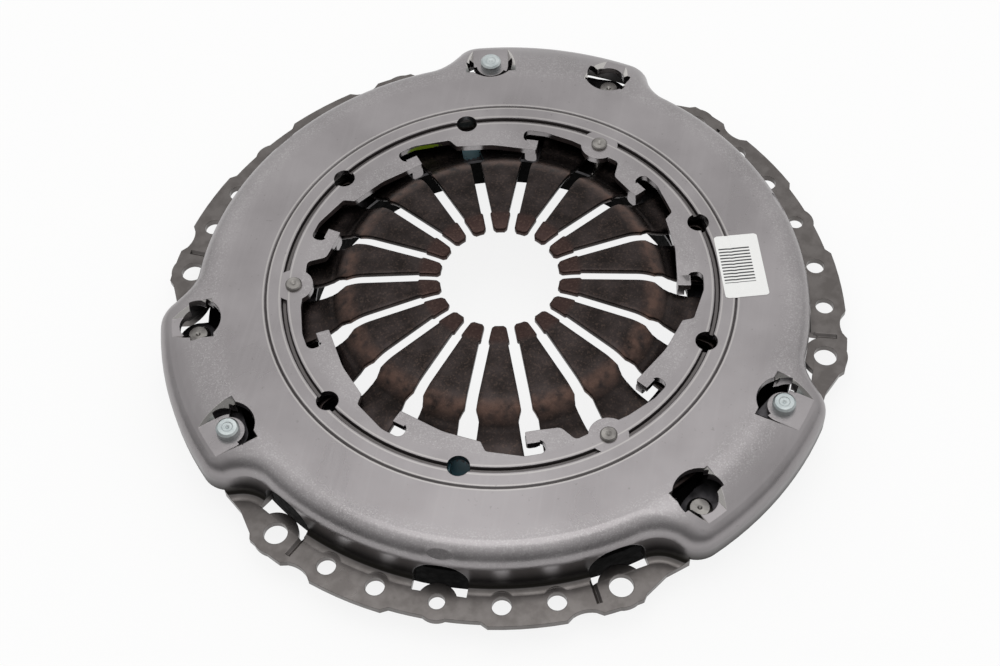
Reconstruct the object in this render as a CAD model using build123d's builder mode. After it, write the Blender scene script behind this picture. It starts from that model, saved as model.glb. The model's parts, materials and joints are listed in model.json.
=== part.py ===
"""Clutch cover assembly: pressed cover, pressure plate, slotted diaphragm spring and wear adjuster.

Millimetres. The origin is the centre of the bolting face, +Z points to the release bearing,
and the middle of the first bolting segment lies on -Y.
"""

from build123d import *
from math import asin, cos, degrees, radians, sin
import os

os.makedirs("parts", exist_ok=True)

# Pattern of the whole assembly: three bolting segments with three leaf spring bays between them
segment_angles = (270, 30, 150)
bay_angles = (330, 90, 210)

# Cover pressing
sheet = 2.8
cover_height = 23.0
drum_radius = 120.3
bay_radius = 133.8
bay_half_angle = 17.5
bay_root_angle = 22.5
bay_corner_radius = 11.0
bay_root_radius = 15.0
shoulder_radius = 8.0
crown_start = 112.0
crown_end = 127.0
crown_slope = 27.0
skirt_edge = 4.5
skirt_start_angle = 41.4
bend_radius = 4.0

# Bolting flange
bolt_circle = 128.0
mount_hole = 9.0
mount_angle = 30.0
spare_hole = 7.2
spare_angles = (10.43, 19.35)
dowel_hole = 6.1
flange_radius = 136.0
flange_neck_radius = 134.2
flange_end_radius = 130.6
flange_foot_angle = 38.6

# Arched windows in the drum wall
window_centre = 30.7
window_width = 21.8
window_top = 16.2
window_reach = 123.8
dowel_window_width = 20.4
dowel_window_top = 15.6
dowel_window_reach = 124.8
mount_tongue = 8.6
dowel_tongue = 7.4
spotface = 11.2
crease_angle = 25.8
crease_width = 2.2
crease_depth = 0.9
crease_start = 123.0
crease_end = 132.0
dimple_length = 10.0
dimple_width = 4.2
dimple_depth = 0.4
dimple_slope = 42.0

# Leaf spring pads and access holes
pad_angle = 12.4
pad_circle = 119.0
pad_drop = 4.2
pad_half_width = 7.4
pad_clear = 1.8
pad_outer_radius = 129.0
pad_flare_angle = 38.0
access_hole = 12.4
access_half_width = 4.2
access_flare_angle = 50.0

# Inner edge of the cover, with its ratchet-shaped slots and tabs
inner_edge_radius = 72.2
tab_radius = 68.7
slot_outer_radius = 78.9
slot_start_radius = 76.2
slot_inner_radius = 73.2
tooth_angles = (-20, 20, 60)
tab_width = 4.8
tab_bottom = 15.6
tab_bend = 0.8
lobe_angle = 40.0
lobe_circle = 80.4
lobe_radius = 7.5
view_hole = 8.5
view_hole_circle = 83.3
view_hole_angles = (0, 80)

# Rolled beads in the top of the cover
outer_bead_radius = 91.3
outer_bead_width = 1.4
outer_bead_depth = 0.6
inner_bead_radius = 84.0
inner_bead_width = 2.4
inner_bead_depth = 1.6

# Diaphragm spring
finger_count = 18
spring_thickness = 2.6
spring_outer_radius = 107.5
pivot_radius = 92.5
tip_radius = 23.0
tip_height = 27.0
nose_radius = 28.0
nose_height = 27.9
finger_bend_radius = 59.5
finger_bend_height = 26.7
root_bend_radius = 68.0
root_bend_height = 18.4
rim_height = 12.7
bend_run = 1.6
tip_zone_radius = 31.0
tip_slot = 2.9
finger_slot = 4.2
keyhole_slot = 7.4
keyhole_start_radius = 62.0
keyhole_end_radius = 82.4

# Wear adjuster
ramp_count = 9
ramp_span = 22.0
ramp_rise = 2.3
ring_inner_radius = 87.0
ring_outer_radius = 97.0
ring_base = 1.3
ring_nose_width = 3.0
track_base = 0.7
adjust_gap = 0.1
stop_outer_radius = 105.0
stop_width = 2.2
coil_radius = 2.3
wire_radius = 0.5
coil_circle = 101.6
coil_turns = 4
coil_steps = 10
coil_length = 20.0

# Sensor spring and its stepped bolts
sensor_thickness = 1.5
sensor_inner_radius = 77.0
sensor_outer_radius = 93.5
sensor_cone_drop = 1.2
bolt_shank = 4.8
bolt_head = 6.4
bolt_head_height = 1.3
bolt_foot = 9.0
bolt_foot_height = 1.2

# Leaf springs and their rivets
leaf_thickness = 1.0
leaf_width = 14.0
leaf_count = 2
leaf_names = ("upper", "lower")
leaf_flat = 11.0
rivet_shank = 6.0
rivet_head = 8.7
rivet_head_height = 3.1
rivet_foot = 9.6
rivet_foot_height = 1.8
plate_rivet_head = 9.5
plate_rivet_head_height = 2.6

# Pressure plate casting
plate_outer_radius = 116.5
plate_inner_radius = 76.5
plate_bottom = -9.0
plate_top = 6.0
plate_chamfer = 0.7
boss_radius = 104.0
boss_width = 4.6
boss_count = 6
boss_gap_angle = 10.0
lug_radius = 8.4
lug_top = 8.2
lug_bottom = -2.5

# Clearances between pieces that touch or slide
seat_gap = 0.05
rivet_gap = 0.05
leaf_play = 0.2
travel_gap = 0.3

# Heights and places that follow from the sizes above
top_underside = cover_height - sheet
pad_top = cover_height - pad_drop
pad_underside = pad_top - sheet
rim_slope = (root_bend_height - rim_height) / (spring_outer_radius - root_bend_radius)


def polar(radius, angle):
    """Point of the plan at a radius and an angle in degrees."""
    return (radius * cos(radians(angle)), radius * sin(radians(angle)))


def spring_top(radius):
    """Height of the diaphragm's upper face outside the root bend."""
    return root_bend_height - rim_slope * (radius - root_bend_radius)


def radial_plane(angle, radius=0.0):
    """Plane whose X is tangential, whose Y is up and whose normal points outwards."""
    x, y = polar(radius, angle)
    tangent = (-sin(radians(angle)), cos(radians(angle)), 0)
    outward = (cos(radians(angle)), sin(radians(angle)), 0)
    return Plane(origin=(x, y, 0), x_dir=tangent, z_dir=outward)


def section_plane(angle):
    """Plane whose X is outwards, whose Y is up and whose normal is tangential."""
    outward = (cos(radians(angle)), sin(radians(angle)), 0)
    normal = (sin(radians(angle)), -cos(radians(angle)), 0)
    return Plane(origin=(0, 0, 0), x_dir=outward, z_dir=normal)


def spot_plane(angle, height):
    """Level plane with its origin on the rivet circle and X outwards."""
    return Plane(
        origin=(*polar(pad_circle, angle), height),
        x_dir=(*polar(1, angle), 0),
        z_dir=(0, 0, 1),
    )


def cover_outline():
    """Plan of the drum with its three bays, as one rounded face."""
    with BuildSketch() as outline:
        Circle(drum_radius)
        for centre in bay_angles:
            with BuildLine():
                start = polar(drum_radius - shoulder_radius, centre - bay_root_angle - 2)
                end = polar(drum_radius - shoulder_radius, centre + bay_root_angle + 2)
                first = polar(bay_radius, centre - bay_half_angle)
                last = polar(bay_radius, centre + bay_half_angle)
                Line(start, first)
                ThreePointArc(first, polar(bay_radius, centre), last)
                Line(last, end)
                Line(end, start)
            make_face()
        corners = outline.vertices().filter_by(lambda v: abs(v.center().length - bay_radius) < 0.01)
        fillet(corners, bay_corner_radius)
        roots = outline.vertices().filter_by(lambda v: abs(v.center().length - drum_radius) < 0.01)
        fillet(roots, bay_root_radius)
    return outline.face()


def crown(depth):
    """Body under the crowned top, lowered by a depth: level inside, bent down towards the bays."""
    slope = radians(crown_slope)
    bend = (crown_end - crown_start) / sin(slope) - depth
    middle = cover_height - depth - bend
    knee = (crown_start + bend * sin(slope), middle + bend * cos(slope))
    outer = 2 * bay_radius
    with BuildPart() as cap:
        with BuildSketch(Plane.XZ):
            with BuildLine():
                rim = (crown_start, cover_height - depth)
                Polyline((outer, -bay_radius), (0, -bay_radius), (0, rim[1]), rim)
                half = slope / 2
                ThreePointArc(rim, (crown_start + bend * sin(half), middle + bend * cos(half)), knee)
                end = (outer, knee[1] - (outer - knee[0]) * sin(slope) / cos(slope))
                Polyline(knee, end, (outer, -bay_radius))
            make_face()
        revolve(axis=Axis.Z)
    return cap.part


def drawn_body(depth):
    """The drum with its bays as a solid with rounded shoulders, inside its outer face by a depth."""
    with BuildPart() as body:
        with BuildSketch(Plane.XY.offset(-depth)):
            add(outline)
            if depth:
                offset(amount=-depth, mode=Mode.REPLACE)
        extrude(amount=cover_height + 2 * depth)
        add(crown(depth), mode=Mode.INTERSECT)
        walls = body.faces().filter_by(lambda face: abs(face.normal_at().Z) < 0.05)
        rim = walls.edges().filter_by(lambda edge: edge.bounding_box().min.Z > cover_height / 2)
        fillet(rim, shoulder_radius - depth)
    return body.part


def shoulder_plane(angle, slope):
    """Plane that touches the drum's shoulder where its normal rises by a slope, with X tangential."""
    middle = drum_radius - shoulder_radius
    bend = (crown_end - crown_start) / sin(radians(crown_slope))
    inside = bend - shoulder_radius
    height = cover_height - bend + (inside ** 2 - (middle - crown_start) ** 2) ** 0.5
    out, up = polar(shoulder_radius, slope)
    tangent = (-sin(radians(angle)), cos(radians(angle)), 0)
    normal = (*polar(cos(radians(slope)), angle), sin(radians(slope)))
    return Plane(origin=(*polar(middle + out, angle), height + up), x_dir=tangent, z_dir=normal)


def flange_outline(centre):
    """Plan of one bolting segment, with a neck at the dowel hole and a bite beside each bolt lug."""
    half = [
        (flange_neck_radius, 7.2),
        (flange_radius, 8.3),
        (flange_radius, 20.4),
        (flange_neck_radius, 21.4),
        (flange_neck_radius, 25.0),
        (flange_radius, 26.0),
        (flange_radius, 32.4),
        (flange_neck_radius, 33.2),
        (flange_end_radius, 37.4),
        (flange_end_radius, skirt_start_angle + 0.3),
    ]
    inside = drum_radius - sheet + 0.5
    with BuildSketch() as plan:
        with BuildLine():
            ends = []
            for side in (-1, 1):
                points = [polar(r, centre + side * a) for r, a in half]
                ThreePointArc(points[1], polar(flange_radius, centre + side * 14), points[2])
                ThreePointArc(points[3], polar(flange_neck_radius - 0.9, centre + side * 23.2), points[4])
                ThreePointArc(points[5], polar(flange_radius, centre + side * 29), points[6])
                for a, b in ((0, 1), (2, 3), (4, 5), (6, 7), (7, 8), (8, 9)):
                    Line(points[a], points[b])
                foot = polar(inside, centre + side * flange_foot_angle)
                Line(points[9], foot)
                ends.append((points[0], foot))
            ThreePointArc(ends[0][0], polar(flange_neck_radius, centre), ends[1][0])
            ThreePointArc(ends[0][1], polar(inside, centre), ends[1][1])
        make_face()
    return plan.face()


def inner_edge_corners():
    """Corners of the cover's inner edge as (radius, angle, rounding), for one third of the turn."""
    corners = []
    for tooth in tooth_angles:
        if tooth != tooth_angles[-1]:
            corners += [
                (inner_edge_radius, tooth - 15.2, 0.8),
                (slot_start_radius, tooth - 13.6, 1.6),
            ]
        else:
            corners += [(slot_start_radius + 1.4, tooth - 12.0, 2.0)]
        corners += [
            (slot_outer_radius, tooth - 3.0, 8.0),
            (slot_outer_radius, tooth + 3.1, 2.6),
            (slot_inner_radius, tooth + 3.0, 2.4),
            (slot_inner_radius - 0.6, tooth - 1.9, 0.8),
            (tab_radius, tooth - 1.9, 0.5),
            (tab_radius, tooth + 1.9, 2.0),
        ]
        if tooth == tooth_angles[1]:
            corners += [
                (tab_radius + 1.2, tooth + 9.0, 3.0),
                (slot_start_radius + 0.6, tooth + 11.6, 2.2),
            ]
        else:
            corners += [((tab_radius + inner_edge_radius) / 2, tooth + 13.0, 20.0)]
    return corners


def even_angles(count, start=0.0):
    """Angles of features spaced evenly round the whole turn."""
    return [start + 360 / count * i for i in range(count)]


def spring_profile():
    """Upper face of the diaphragm as (radius, height): nose, finger, double bend and coned rim."""
    rise = (finger_bend_height - nose_height) / (finger_bend_radius - nose_radius)
    drop = (root_bend_height - finger_bend_height) / (root_bend_radius - finger_bend_radius)
    return [
        (tip_radius, tip_height),
        (nose_radius, nose_height),
        (finger_bend_radius - bend_run, finger_bend_height - rise * bend_run),
        (finger_bend_radius + bend_run, finger_bend_height + drop * bend_run),
        (root_bend_radius - bend_run, root_bend_height - drop * bend_run),
        (root_bend_radius + bend_run, spring_top(root_bend_radius + bend_run)),
        (spring_outer_radius, rim_height),
    ]


# One third of the cover, about the segment on -Y: drum and bays pressed from one sheet, open below
outline = cover_outline()
segment = segment_angles[0]
filled = drawn_body(0)
hollow = drawn_body(sheet)

# Bolting segment, with the rounded bend where the wall meets it
with BuildPart() as surroundings:
    with BuildSketch(Plane.XY.offset(sheet)):
        Circle(2 * bay_radius)
        add(outline, mode=Mode.SUBTRACT)
    extrude(amount=2 * bend_radius)
    foot = surroundings.edges().group_by(Axis.Z)[0].filter_by(lambda edge: edge.length < 3 * bay_radius)
    fillet(foot, bend_radius)
with BuildPart() as bolting_segment:
    with BuildSketch():
        add(flange_outline(segment))
    extrude(amount=sheet + bend_radius)
    add(surroundings.part, mode=Mode.SUBTRACT)
    add(hollow, mode=Mode.SUBTRACT)

with BuildPart() as cover_third:
    add(filled)
    add(hollow, mode=Mode.SUBTRACT)
    with BuildSketch(Plane.XY.offset(-2)):
        with BuildLine():
            left = polar(2 * bay_radius, segment - 60)
            right = polar(2 * bay_radius, segment + 60)
            ThreePointArc(left, polar(2 * bay_radius, segment), right)
            Line(right, (0, 0))
            Line((0, 0), left)
        make_face()
    extrude(amount=cover_height + 4, mode=Mode.INTERSECT)

    # The skirt of each bay ends above the bolting face
    for side in (-1, 1):
        with BuildSketch(Plane.XY.offset(-1)):
            with BuildLine():
                Polyline(
                    polar(drum_radius - 20, segment + side * skirt_start_angle),
                    polar(bay_radius + 20, segment + side * skirt_start_angle),
                    polar(bay_radius + 20, segment + side * 61),
                    polar(drum_radius - 20, segment + side * 61),
                    close=True,
                )
            make_face()
        extrude(amount=skirt_edge + 1, mode=Mode.SUBTRACT)

    add(bolting_segment.part)

    # Each spare hole has a flat spotface, which cuts into the bend
    with BuildSketch(Plane.XY.offset(sheet)):
        with Locations(*[polar(bolt_circle, segment + side * a) for side in (-1, 1) for a in spare_angles]):
            Circle(spotface / 2)
    extrude(amount=bend_radius, mode=Mode.SUBTRACT)

    # Arched windows in the wall, with the tongues that carry the holes left standing
    wall_inside = drum_radius - shoulder_radius
    windows = [
        (0, dowel_window_width, dowel_window_top, dowel_window_reach),
        (-window_centre, window_width, window_top, window_reach),
        (window_centre, window_width, window_top, window_reach),
    ]
    for turn, width, top, reach in windows:
        with BuildSketch(radial_plane(segment + turn, wall_inside)):
            with BuildLine():
                half = width / 2
                Polyline((-half, 0.3 * top), (-half, -1), (half, -1), (half, 0.3 * top))
                for side in (-1, 1):
                    corner = side * half
                    ThreePointArc((corner, 0.3 * top), (0.82 * corner, 0.74 * top), (0.45 * corner, 0.96 * top))
                ThreePointArc((-0.45 * half, 0.96 * top), (0, top), (0.45 * half, 0.96 * top))
            make_face()
        extrude(amount=reach - wall_inside, mode=Mode.SUBTRACT)
    with BuildSketch():
        with Locations(polar(bolt_circle, segment)):
            Circle(dowel_tongue)
        with Locations(*[polar(bolt_circle, segment + side * mount_angle) for side in (-1, 1)]):
            Circle(mount_tongue)
    extrude(amount=sheet)

    # Creases that stiffen the flange, and a coined dimple over the middle window
    for side in (-1, 1):
        with BuildSketch(radial_plane(segment + side * crease_angle, crease_start)):
            with BuildLine():
                half = crease_width / 2
                Polyline(
                    (-half, sheet),
                    (-half, sheet + 1),
                    (half, sheet + 1),
                    (half, sheet),
                    (0, sheet - crease_depth),
                    close=True,
                )
            make_face()
        extrude(amount=crease_end - crease_start, mode=Mode.SUBTRACT)
    with BuildSketch(shoulder_plane(segment, dimple_slope).offset(-dimple_depth)):
        Ellipse(dimple_length / 2, dimple_width / 2)
    extrude(amount=dimple_width, mode=Mode.SUBTRACT)

    # Holes of the bolting segment
    with BuildSketch(Plane.XY.offset(-1)):
        with Locations(polar(bolt_circle, segment)):
            Circle(dowel_hole / 2)
        with Locations(*[polar(bolt_circle, segment + side * mount_angle) for side in (-1, 1)]):
            Circle(mount_hole / 2)
        with Locations(*[polar(bolt_circle, segment + side * a) for side in (-1, 1) for a in spare_angles]):
            Circle(spare_hole / 2)
    extrude(amount=sheet + 2, mode=Mode.SUBTRACT)

    # Pockets with flared sides, which run out where the crown has fallen to their floor.
    # The riveted one keeps a round tongue inside a crescent hole; the other is pierced for the tool.
    pocket_length = pad_outer_radius - pad_circle
    pockets = ((-1, pad_half_width, pad_flare_angle), (1, access_half_width, access_flare_angle))
    for side, half_width, flare in pockets:
        plane = spot_plane(segment + side * (60 - pad_angle), pad_top)
        rise = pad_drop + 1
        shift = rise * sin(radians(flare)) / cos(radians(flare))
        below = sheet / cos(radians(flare)) - sheet * sin(radians(flare)) / cos(radians(flare))
        across = Plane(origin=plane.origin, x_dir=plane.y_dir, z_dir=plane.x_dir)
        for wide, low, mode in ((below, -sheet, Mode.PRIVATE), (0, 0, Mode.SUBTRACT)):
            with BuildSketch(across.offset(-pad_half_width)):
                with BuildLine():
                    foot = half_width + wide
                    top = foot + shift
                    Polyline((-foot, low), (foot, low), (top, low + rise), (-top, low + rise), close=True)
                make_face()
            pocket = extrude(amount=pocket_length + pad_half_width, mode=mode)
            if mode == Mode.PRIVATE:
                add(pocket.intersect(filled))
        with BuildSketch(plane.offset(-sheet - 2)):
            Circle(pad_half_width + pad_clear)
            with Locations((pad_half_width + pad_clear, 0)):
                Rectangle(2 * pad_half_width, 4 * pad_half_width, mode=Mode.SUBTRACT)
            if side == 1:
                Circle(access_hole / 2)
        extrude(amount=pad_drop + sheet + 4, mode=Mode.SUBTRACT)
    plane = spot_plane(segment - (60 - pad_angle), pad_underside)
    with BuildSketch(plane):
        Circle(pad_half_width)
        with Locations((pad_half_width / 2, 0)):
            Rectangle(pad_half_width, 2 * pad_half_width)
    extrude(amount=sheet)
    with BuildSketch(plane.offset(-1)):
        Circle(rivet_shank / 2 + rivet_gap)
    extrude(amount=sheet + 2, mode=Mode.SUBTRACT)

    # Rolled beads: the inner one is deep enough to stand out below, the outer one is a shallow line
    with BuildSketch(Plane.XZ):
        with BuildLine():
            half = inner_bead_width / 2
            Polyline(
                (inner_bead_radius - half - 0.6, top_underside + 0.2),
                (inner_bead_radius - 0.6 * half, top_underside - inner_bead_depth),
                (inner_bead_radius + 0.6 * half, top_underside - inner_bead_depth),
                (inner_bead_radius + half + 0.6, top_underside + 0.2),
                close=True,
            )
        make_face()
    below = revolve(axis=Axis.Z, mode=Mode.PRIVATE)
    with BuildSketch(Plane.XZ):
        with BuildLine():
            Polyline(
                (inner_bead_radius - half, cover_height + 0.1),
                (inner_bead_radius - 0.5 * half, cover_height - inner_bead_depth),
                (inner_bead_radius + 0.5 * half, cover_height - inner_bead_depth),
                (inner_bead_radius + half, cover_height + 0.1),
                close=True,
            )
        make_face()
        with BuildLine():
            Polyline(
                (outer_bead_radius - outer_bead_width / 2, cover_height + 0.1),
                (outer_bead_radius, cover_height - outer_bead_depth),
                (outer_bead_radius + outer_bead_width / 2, cover_height + 0.1),
                close=True,
            )
        make_face()
    above = revolve(axis=Axis.Z, mode=Mode.PRIVATE)
    with BuildSketch(Plane.XY.offset(-2)):
        with BuildLine():
            Line((0, 0), polar(bay_radius, segment - 60))
            ThreePointArc(
                polar(bay_radius, segment - 60), polar(bay_radius, segment), polar(bay_radius, segment + 60)
            )
            Line(polar(bay_radius, segment + 60), (0, 0))
        make_face()
    third = extrude(amount=cover_height + 4, mode=Mode.PRIVATE)
    add(below.intersect(third))
    add(above, mode=Mode.SUBTRACT)

    # Coined lobe that the sensor bolt is set in, which interrupts the inner bead
    with BuildSketch(Plane.XY.offset(top_underside)):
        with Locations(polar(lobe_circle, segment + lobe_angle)):
            Circle(lobe_radius)
    extrude(amount=sheet)

    # Inner edge
    with BuildSketch(Plane.XY.offset(top_underside - 4)):
        with BuildLine():
            turn = [
                (*polar(r, centre + a), rounding)
                for centre in (270, 390, 510)
                for r, a, rounding in inner_edge_corners()
            ]
            FilletPolyline([(x, y) for x, y, _ in turn], radius=[f for _, _, f in turn], close=True)
        make_face()
        with Locations(polar(lobe_circle, segment + lobe_angle)):
            Circle(lobe_radius, mode=Mode.SUBTRACT)
    extrude(amount=sheet + 8, mode=Mode.SUBTRACT)

    # Holes in the top
    with BuildSketch(Plane.XY.offset(top_underside - 4)):
        with Locations(*[polar(view_hole_circle, segment + a) for a in view_hole_angles]):
            Circle(view_hole / 2)
        with Locations(polar(lobe_circle, segment + lobe_angle)):
            Circle(bolt_shank / 2 + rivet_gap)
    extrude(amount=sheet + 8, mode=Mode.SUBTRACT)

# A tab bent down from the inner edge, which reaches between two fingers
with BuildPart() as tab:
    with BuildSketch(section_plane(0).offset(-tab_width / 2)):
        with BuildLine():
            outer_bend = sheet + tab_bend
            inner_x = tab_radius + sheet
            root_x = tab_radius + outer_bend
            share = 1 - sin(radians(45))
            ThreePointArc(
                (tab_radius, cover_height - outer_bend),
                (tab_radius + outer_bend * share, cover_height - outer_bend * share),
                (root_x, cover_height),
            )
            Polyline(
                (root_x, cover_height),
                (root_x + 1.5, cover_height),
                (root_x + 1.5, top_underside),
                (root_x, top_underside),
            )
            ThreePointArc(
                (root_x, top_underside),
                (inner_x + tab_bend * share, top_underside - tab_bend * share),
                (inner_x, top_underside - tab_bend),
            )
            Polyline(
                (inner_x, top_underside - tab_bend),
                (inner_x, tab_bottom),
                (tab_radius, tab_bottom),
                (tab_radius, cover_height - outer_bend),
            )
        make_face()
    extrude(amount=tab_width)
    fillet(tab.edges().filter_by(Axis.X).group_by(Axis.Z)[0], tab_width / 3)

# The whole cover: three thirds and their nine tabs
with BuildPart() as cover:
    for turn in (0, 120, 240):
        add(cover_third.part.rotate(Axis.Z, turn))
    add([tab.part.rotate(Axis.Z, centre + tooth) for centre in segment_angles for tooth in tooth_angles])

cover.part.label = "cover"
export_step(cover.part, "parts/cover.step")


# Diaphragm spring: one coned disc, slotted into fingers, each slot ending in a keyhole
with BuildPart() as diaphragm_spring:
    with BuildSketch(Plane.XZ):
        with BuildLine():
            top = spring_profile()
            Polyline(top + [(r, z - spring_thickness) for r, z in reversed(top)], close=True)
        make_face()
    revolve(axis=Axis.Z)
    slots = []
    for angle in even_angles(finger_count, 270):
        with BuildSketch(Plane(origin=(0, 0, 0), x_dir=(*polar(1, angle), 0), z_dir=(0, 0, 1))):
            with BuildLine():
                side = [
                    (tip_radius - 4, tip_slot / 2),
                    (tip_zone_radius, tip_slot / 2),
                    (tip_zone_radius + 0.6, finger_slot / 2),
                    (keyhole_start_radius - 2.0, finger_slot / 2),
                    (keyhole_start_radius - 0.2, 0.43 * keyhole_slot),
                    (keyhole_start_radius + 1.4, keyhole_slot / 2),
                    (keyhole_end_radius, keyhole_slot / 2),
                ]
                other = [(x, -y) for x, y in side]
                Polyline(side)
                ThreePointArc(side[-1], (keyhole_end_radius + keyhole_slot / 2, 0), other[-1])
                Polyline(other[::-1])
                Line(other[0], side[0])
            make_face()
        slots.append(extrude(amount=cover_height + 20, mode=Mode.PRIVATE))
    add(slots, mode=Mode.SUBTRACT)

diaphragm_spring.part.label = "diaphragm_spring"
export_step(diaphragm_spring.part, "parts/diaphragm_spring.step")


# Pressure plate: cast ring with a raised fulcrum in six pieces and three leaf spring lugs
with BuildPart() as pressure_plate:
    with BuildSketch(Plane.XZ):
        with Locations(((plate_outer_radius + plate_inner_radius) / 2, (plate_top + plate_bottom) / 2)):
            Rectangle(plate_outer_radius - plate_inner_radius, plate_top - plate_bottom)
        chamfer(vertices(), plate_chamfer)
    revolve(axis=Axis.Z)
    crest = boss_width / 4
    boss_top = spring_top(boss_radius - crest) - spring_thickness - seat_gap
    for angle in even_angles(boss_count, boss_gap_angle / 2):
        with BuildSketch(section_plane(angle)):
            with BuildLine():
                Polyline(
                    (boss_radius - boss_width / 2, plate_top - 0.5),
                    (boss_radius - boss_width / 2, boss_top - crest),
                    (boss_radius - crest, boss_top),
                    (boss_radius + crest, boss_top - 2 * crest * rim_slope),
                    (boss_radius + boss_width / 2, boss_top - 2 * crest),
                    (boss_radius + boss_width / 2, plate_top - 0.5),
                    close=True,
                )
            make_face()
        revolve(axis=Axis.Z, revolution_arc=360 / boss_count - boss_gap_angle)
    for centre in bay_angles:
        plane = spot_plane(centre - pad_angle, lug_bottom)
        with BuildSketch(plane):
            Circle(lug_radius)
            with Locations((-6, 0)):
                Rectangle(12, 2 * lug_radius)
        extrude(amount=lug_top - lug_bottom)
        with BuildSketch(plane.offset(-1)):
            Circle(rivet_shank / 2 + rivet_gap)
        extrude(amount=lug_top - lug_bottom + 2, mode=Mode.SUBTRACT)
        with BuildSketch(plane):
            Circle(rivet_foot / 2 + 1)
        extrude(amount=plate_bottom - lug_bottom - 1, mode=Mode.SUBTRACT)

pressure_plate.part.label = "pressure_plate"
export_step(pressure_plate.part, "parts/pressure_plate.step")


# Wear adjuster: a fixed ramp track under the cover and the ring that turns against it
def ramp_wedge(low, high, solid_below):
    """One ramp between two heights, with its body below the slope or above it."""
    half = ring_outer_radius * sin(radians(ramp_span / 2))
    corner = (half, low) if solid_below else (-half, high)
    with BuildPart() as wedge:
        with BuildSketch(radial_plane(0, ring_inner_radius - 4)):
            with BuildLine():
                Polyline((-half, low), (half, high), corner, close=True)
            make_face()
        extrude(amount=ring_outer_radius - ring_inner_radius + 8)
        with BuildSketch(Plane.XY.offset(low - 1)):
            Circle(ring_outer_radius)
            Circle(ring_inner_radius, mode=Mode.SUBTRACT)
        extrude(amount=high - low + 2, mode=Mode.INTERSECT)
    return wedge.part


track_top = top_underside - seat_gap
track_underside = track_top - track_base
ring_top = track_underside - ramp_rise - adjust_gap
ring_bottom = ring_top - ring_base
coil_reach = (coil_length + stop_width) / 2 + seat_gap
coil_half_angle = degrees(asin(coil_reach / coil_circle))

track_ramp = ramp_wedge(track_underside - ramp_rise, track_underside, solid_below=False)
with BuildPart() as ramp_track:
    with BuildSketch(Plane.XY.offset(track_underside)):
        Circle(ring_outer_radius)
        Circle(ring_inner_radius, mode=Mode.SUBTRACT)
    extrude(amount=track_base)
    add([track_ramp.rotate(Axis.Z, angle) for angle in even_angles(ramp_count)])
    for centre in segment_angles:
        plane = Plane(
            origin=(0, 0, ring_bottom),
            x_dir=(*polar(1, centre - coil_half_angle), 0),
            z_dir=(0, 0, 1),
        )
        with BuildSketch(plane.offset(track_underside - ring_bottom)):
            with Locations(((stop_outer_radius + ring_outer_radius) / 2 - 1, 0)):
                Rectangle(stop_outer_radius - ring_outer_radius + 2, 3 * stop_width)
        extrude(amount=track_base)
        with BuildSketch(plane):
            with Locations(((stop_outer_radius + ring_outer_radius) / 2 + 0.5, 0)):
                Rectangle(stop_outer_radius - ring_outer_radius - 1, stop_width)
        extrude(amount=track_underside - ring_bottom)

ramp_track.part.label = "ramp_track"
export_step(ramp_track.part, "parts/ramp_track.step")

ring_ramp = ramp_wedge(ring_top, ring_top + ramp_rise, solid_below=True)
with BuildPart() as adjuster_ring:
    with BuildSketch(Plane.XY.offset(ring_bottom)):
        Circle(ring_outer_radius)
        Circle(ring_inner_radius, mode=Mode.SUBTRACT)
    extrude(amount=ring_base)
    add([ring_ramp.rotate(Axis.Z, angle) for angle in even_angles(ramp_count)])
    with BuildSketch(Plane.XZ):
        with BuildLine():
            crest = ring_nose_width / 4
            Polyline(
                (pivot_radius - 2 * crest, ring_bottom + 0.2),
                (pivot_radius - crest, spring_top(pivot_radius - crest) + seat_gap),
                (pivot_radius + crest, spring_top(pivot_radius + crest) + seat_gap),
                (pivot_radius + 2 * crest, ring_bottom + 0.2),
                close=True,
            )
        make_face()
    revolve(axis=Axis.Z)
    for centre in segment_angles:
        plane = Plane(
            origin=(0, 0, ring_bottom),
            x_dir=(*polar(1, centre + coil_half_angle), 0),
            z_dir=(0, 0, 1),
        )
        with BuildSketch(plane):
            with Locations(((stop_outer_radius + ring_outer_radius) / 2 - 0.5, 0)):
                Rectangle(stop_outer_radius - ring_outer_radius + 1, stop_width)
        extrude(amount=ring_base)
        with BuildSketch(plane):
            with Locations(((stop_outer_radius + ring_outer_radius + travel_gap) / 2, 0)):
                Rectangle(stop_outer_radius - ring_outer_radius - travel_gap, stop_width)
        extrude(amount=track_underside - ring_bottom - travel_gap)

adjuster_ring.part.label = "adjuster_ring"
export_step(adjuster_ring.part, "parts/adjuster_ring.step")

# Adjuster springs: small coils, each between a stop of the track and an arm of the ring
coil_height = spring_top(coil_circle) + coil_radius + wire_radius + travel_gap
coil_run = coil_length - 2 * wire_radius
for number, centre in enumerate(segment_angles, start=1):
    with BuildPart() as adjuster_spring:
        across = polar(1, centre)
        along = (-across[1], across[0])
        middle = polar(coil_circle * cos(radians(coil_half_angle)), centre)
        points = []
        for step in range(coil_turns * coil_steps + 1):
            share = step / (coil_turns * coil_steps)
            out, up = polar(coil_radius, 360 * coil_turns * share)
            run = coil_run * (share - 0.5)
            points.append(
                (
                    middle[0] + along[0] * run + across[0] * out,
                    middle[1] + along[1] * run + across[1] * out,
                    coil_height + up,
                )
            )
        with BuildLine():
            wire = Polyline(points)
        with BuildSketch(Plane(origin=wire @ 0, x_dir=(0, 0, 1), z_dir=wire % 0)):
            Rectangle(1.8 * wire_radius, 1.8 * wire_radius)
        sweep(path=wire, transition=Transition.RIGHT)
    adjuster_spring.part.label = f"adjuster_spring_{number}"
    export_step(adjuster_spring.part, f"parts/adjuster_spring_{number}.step")


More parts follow.
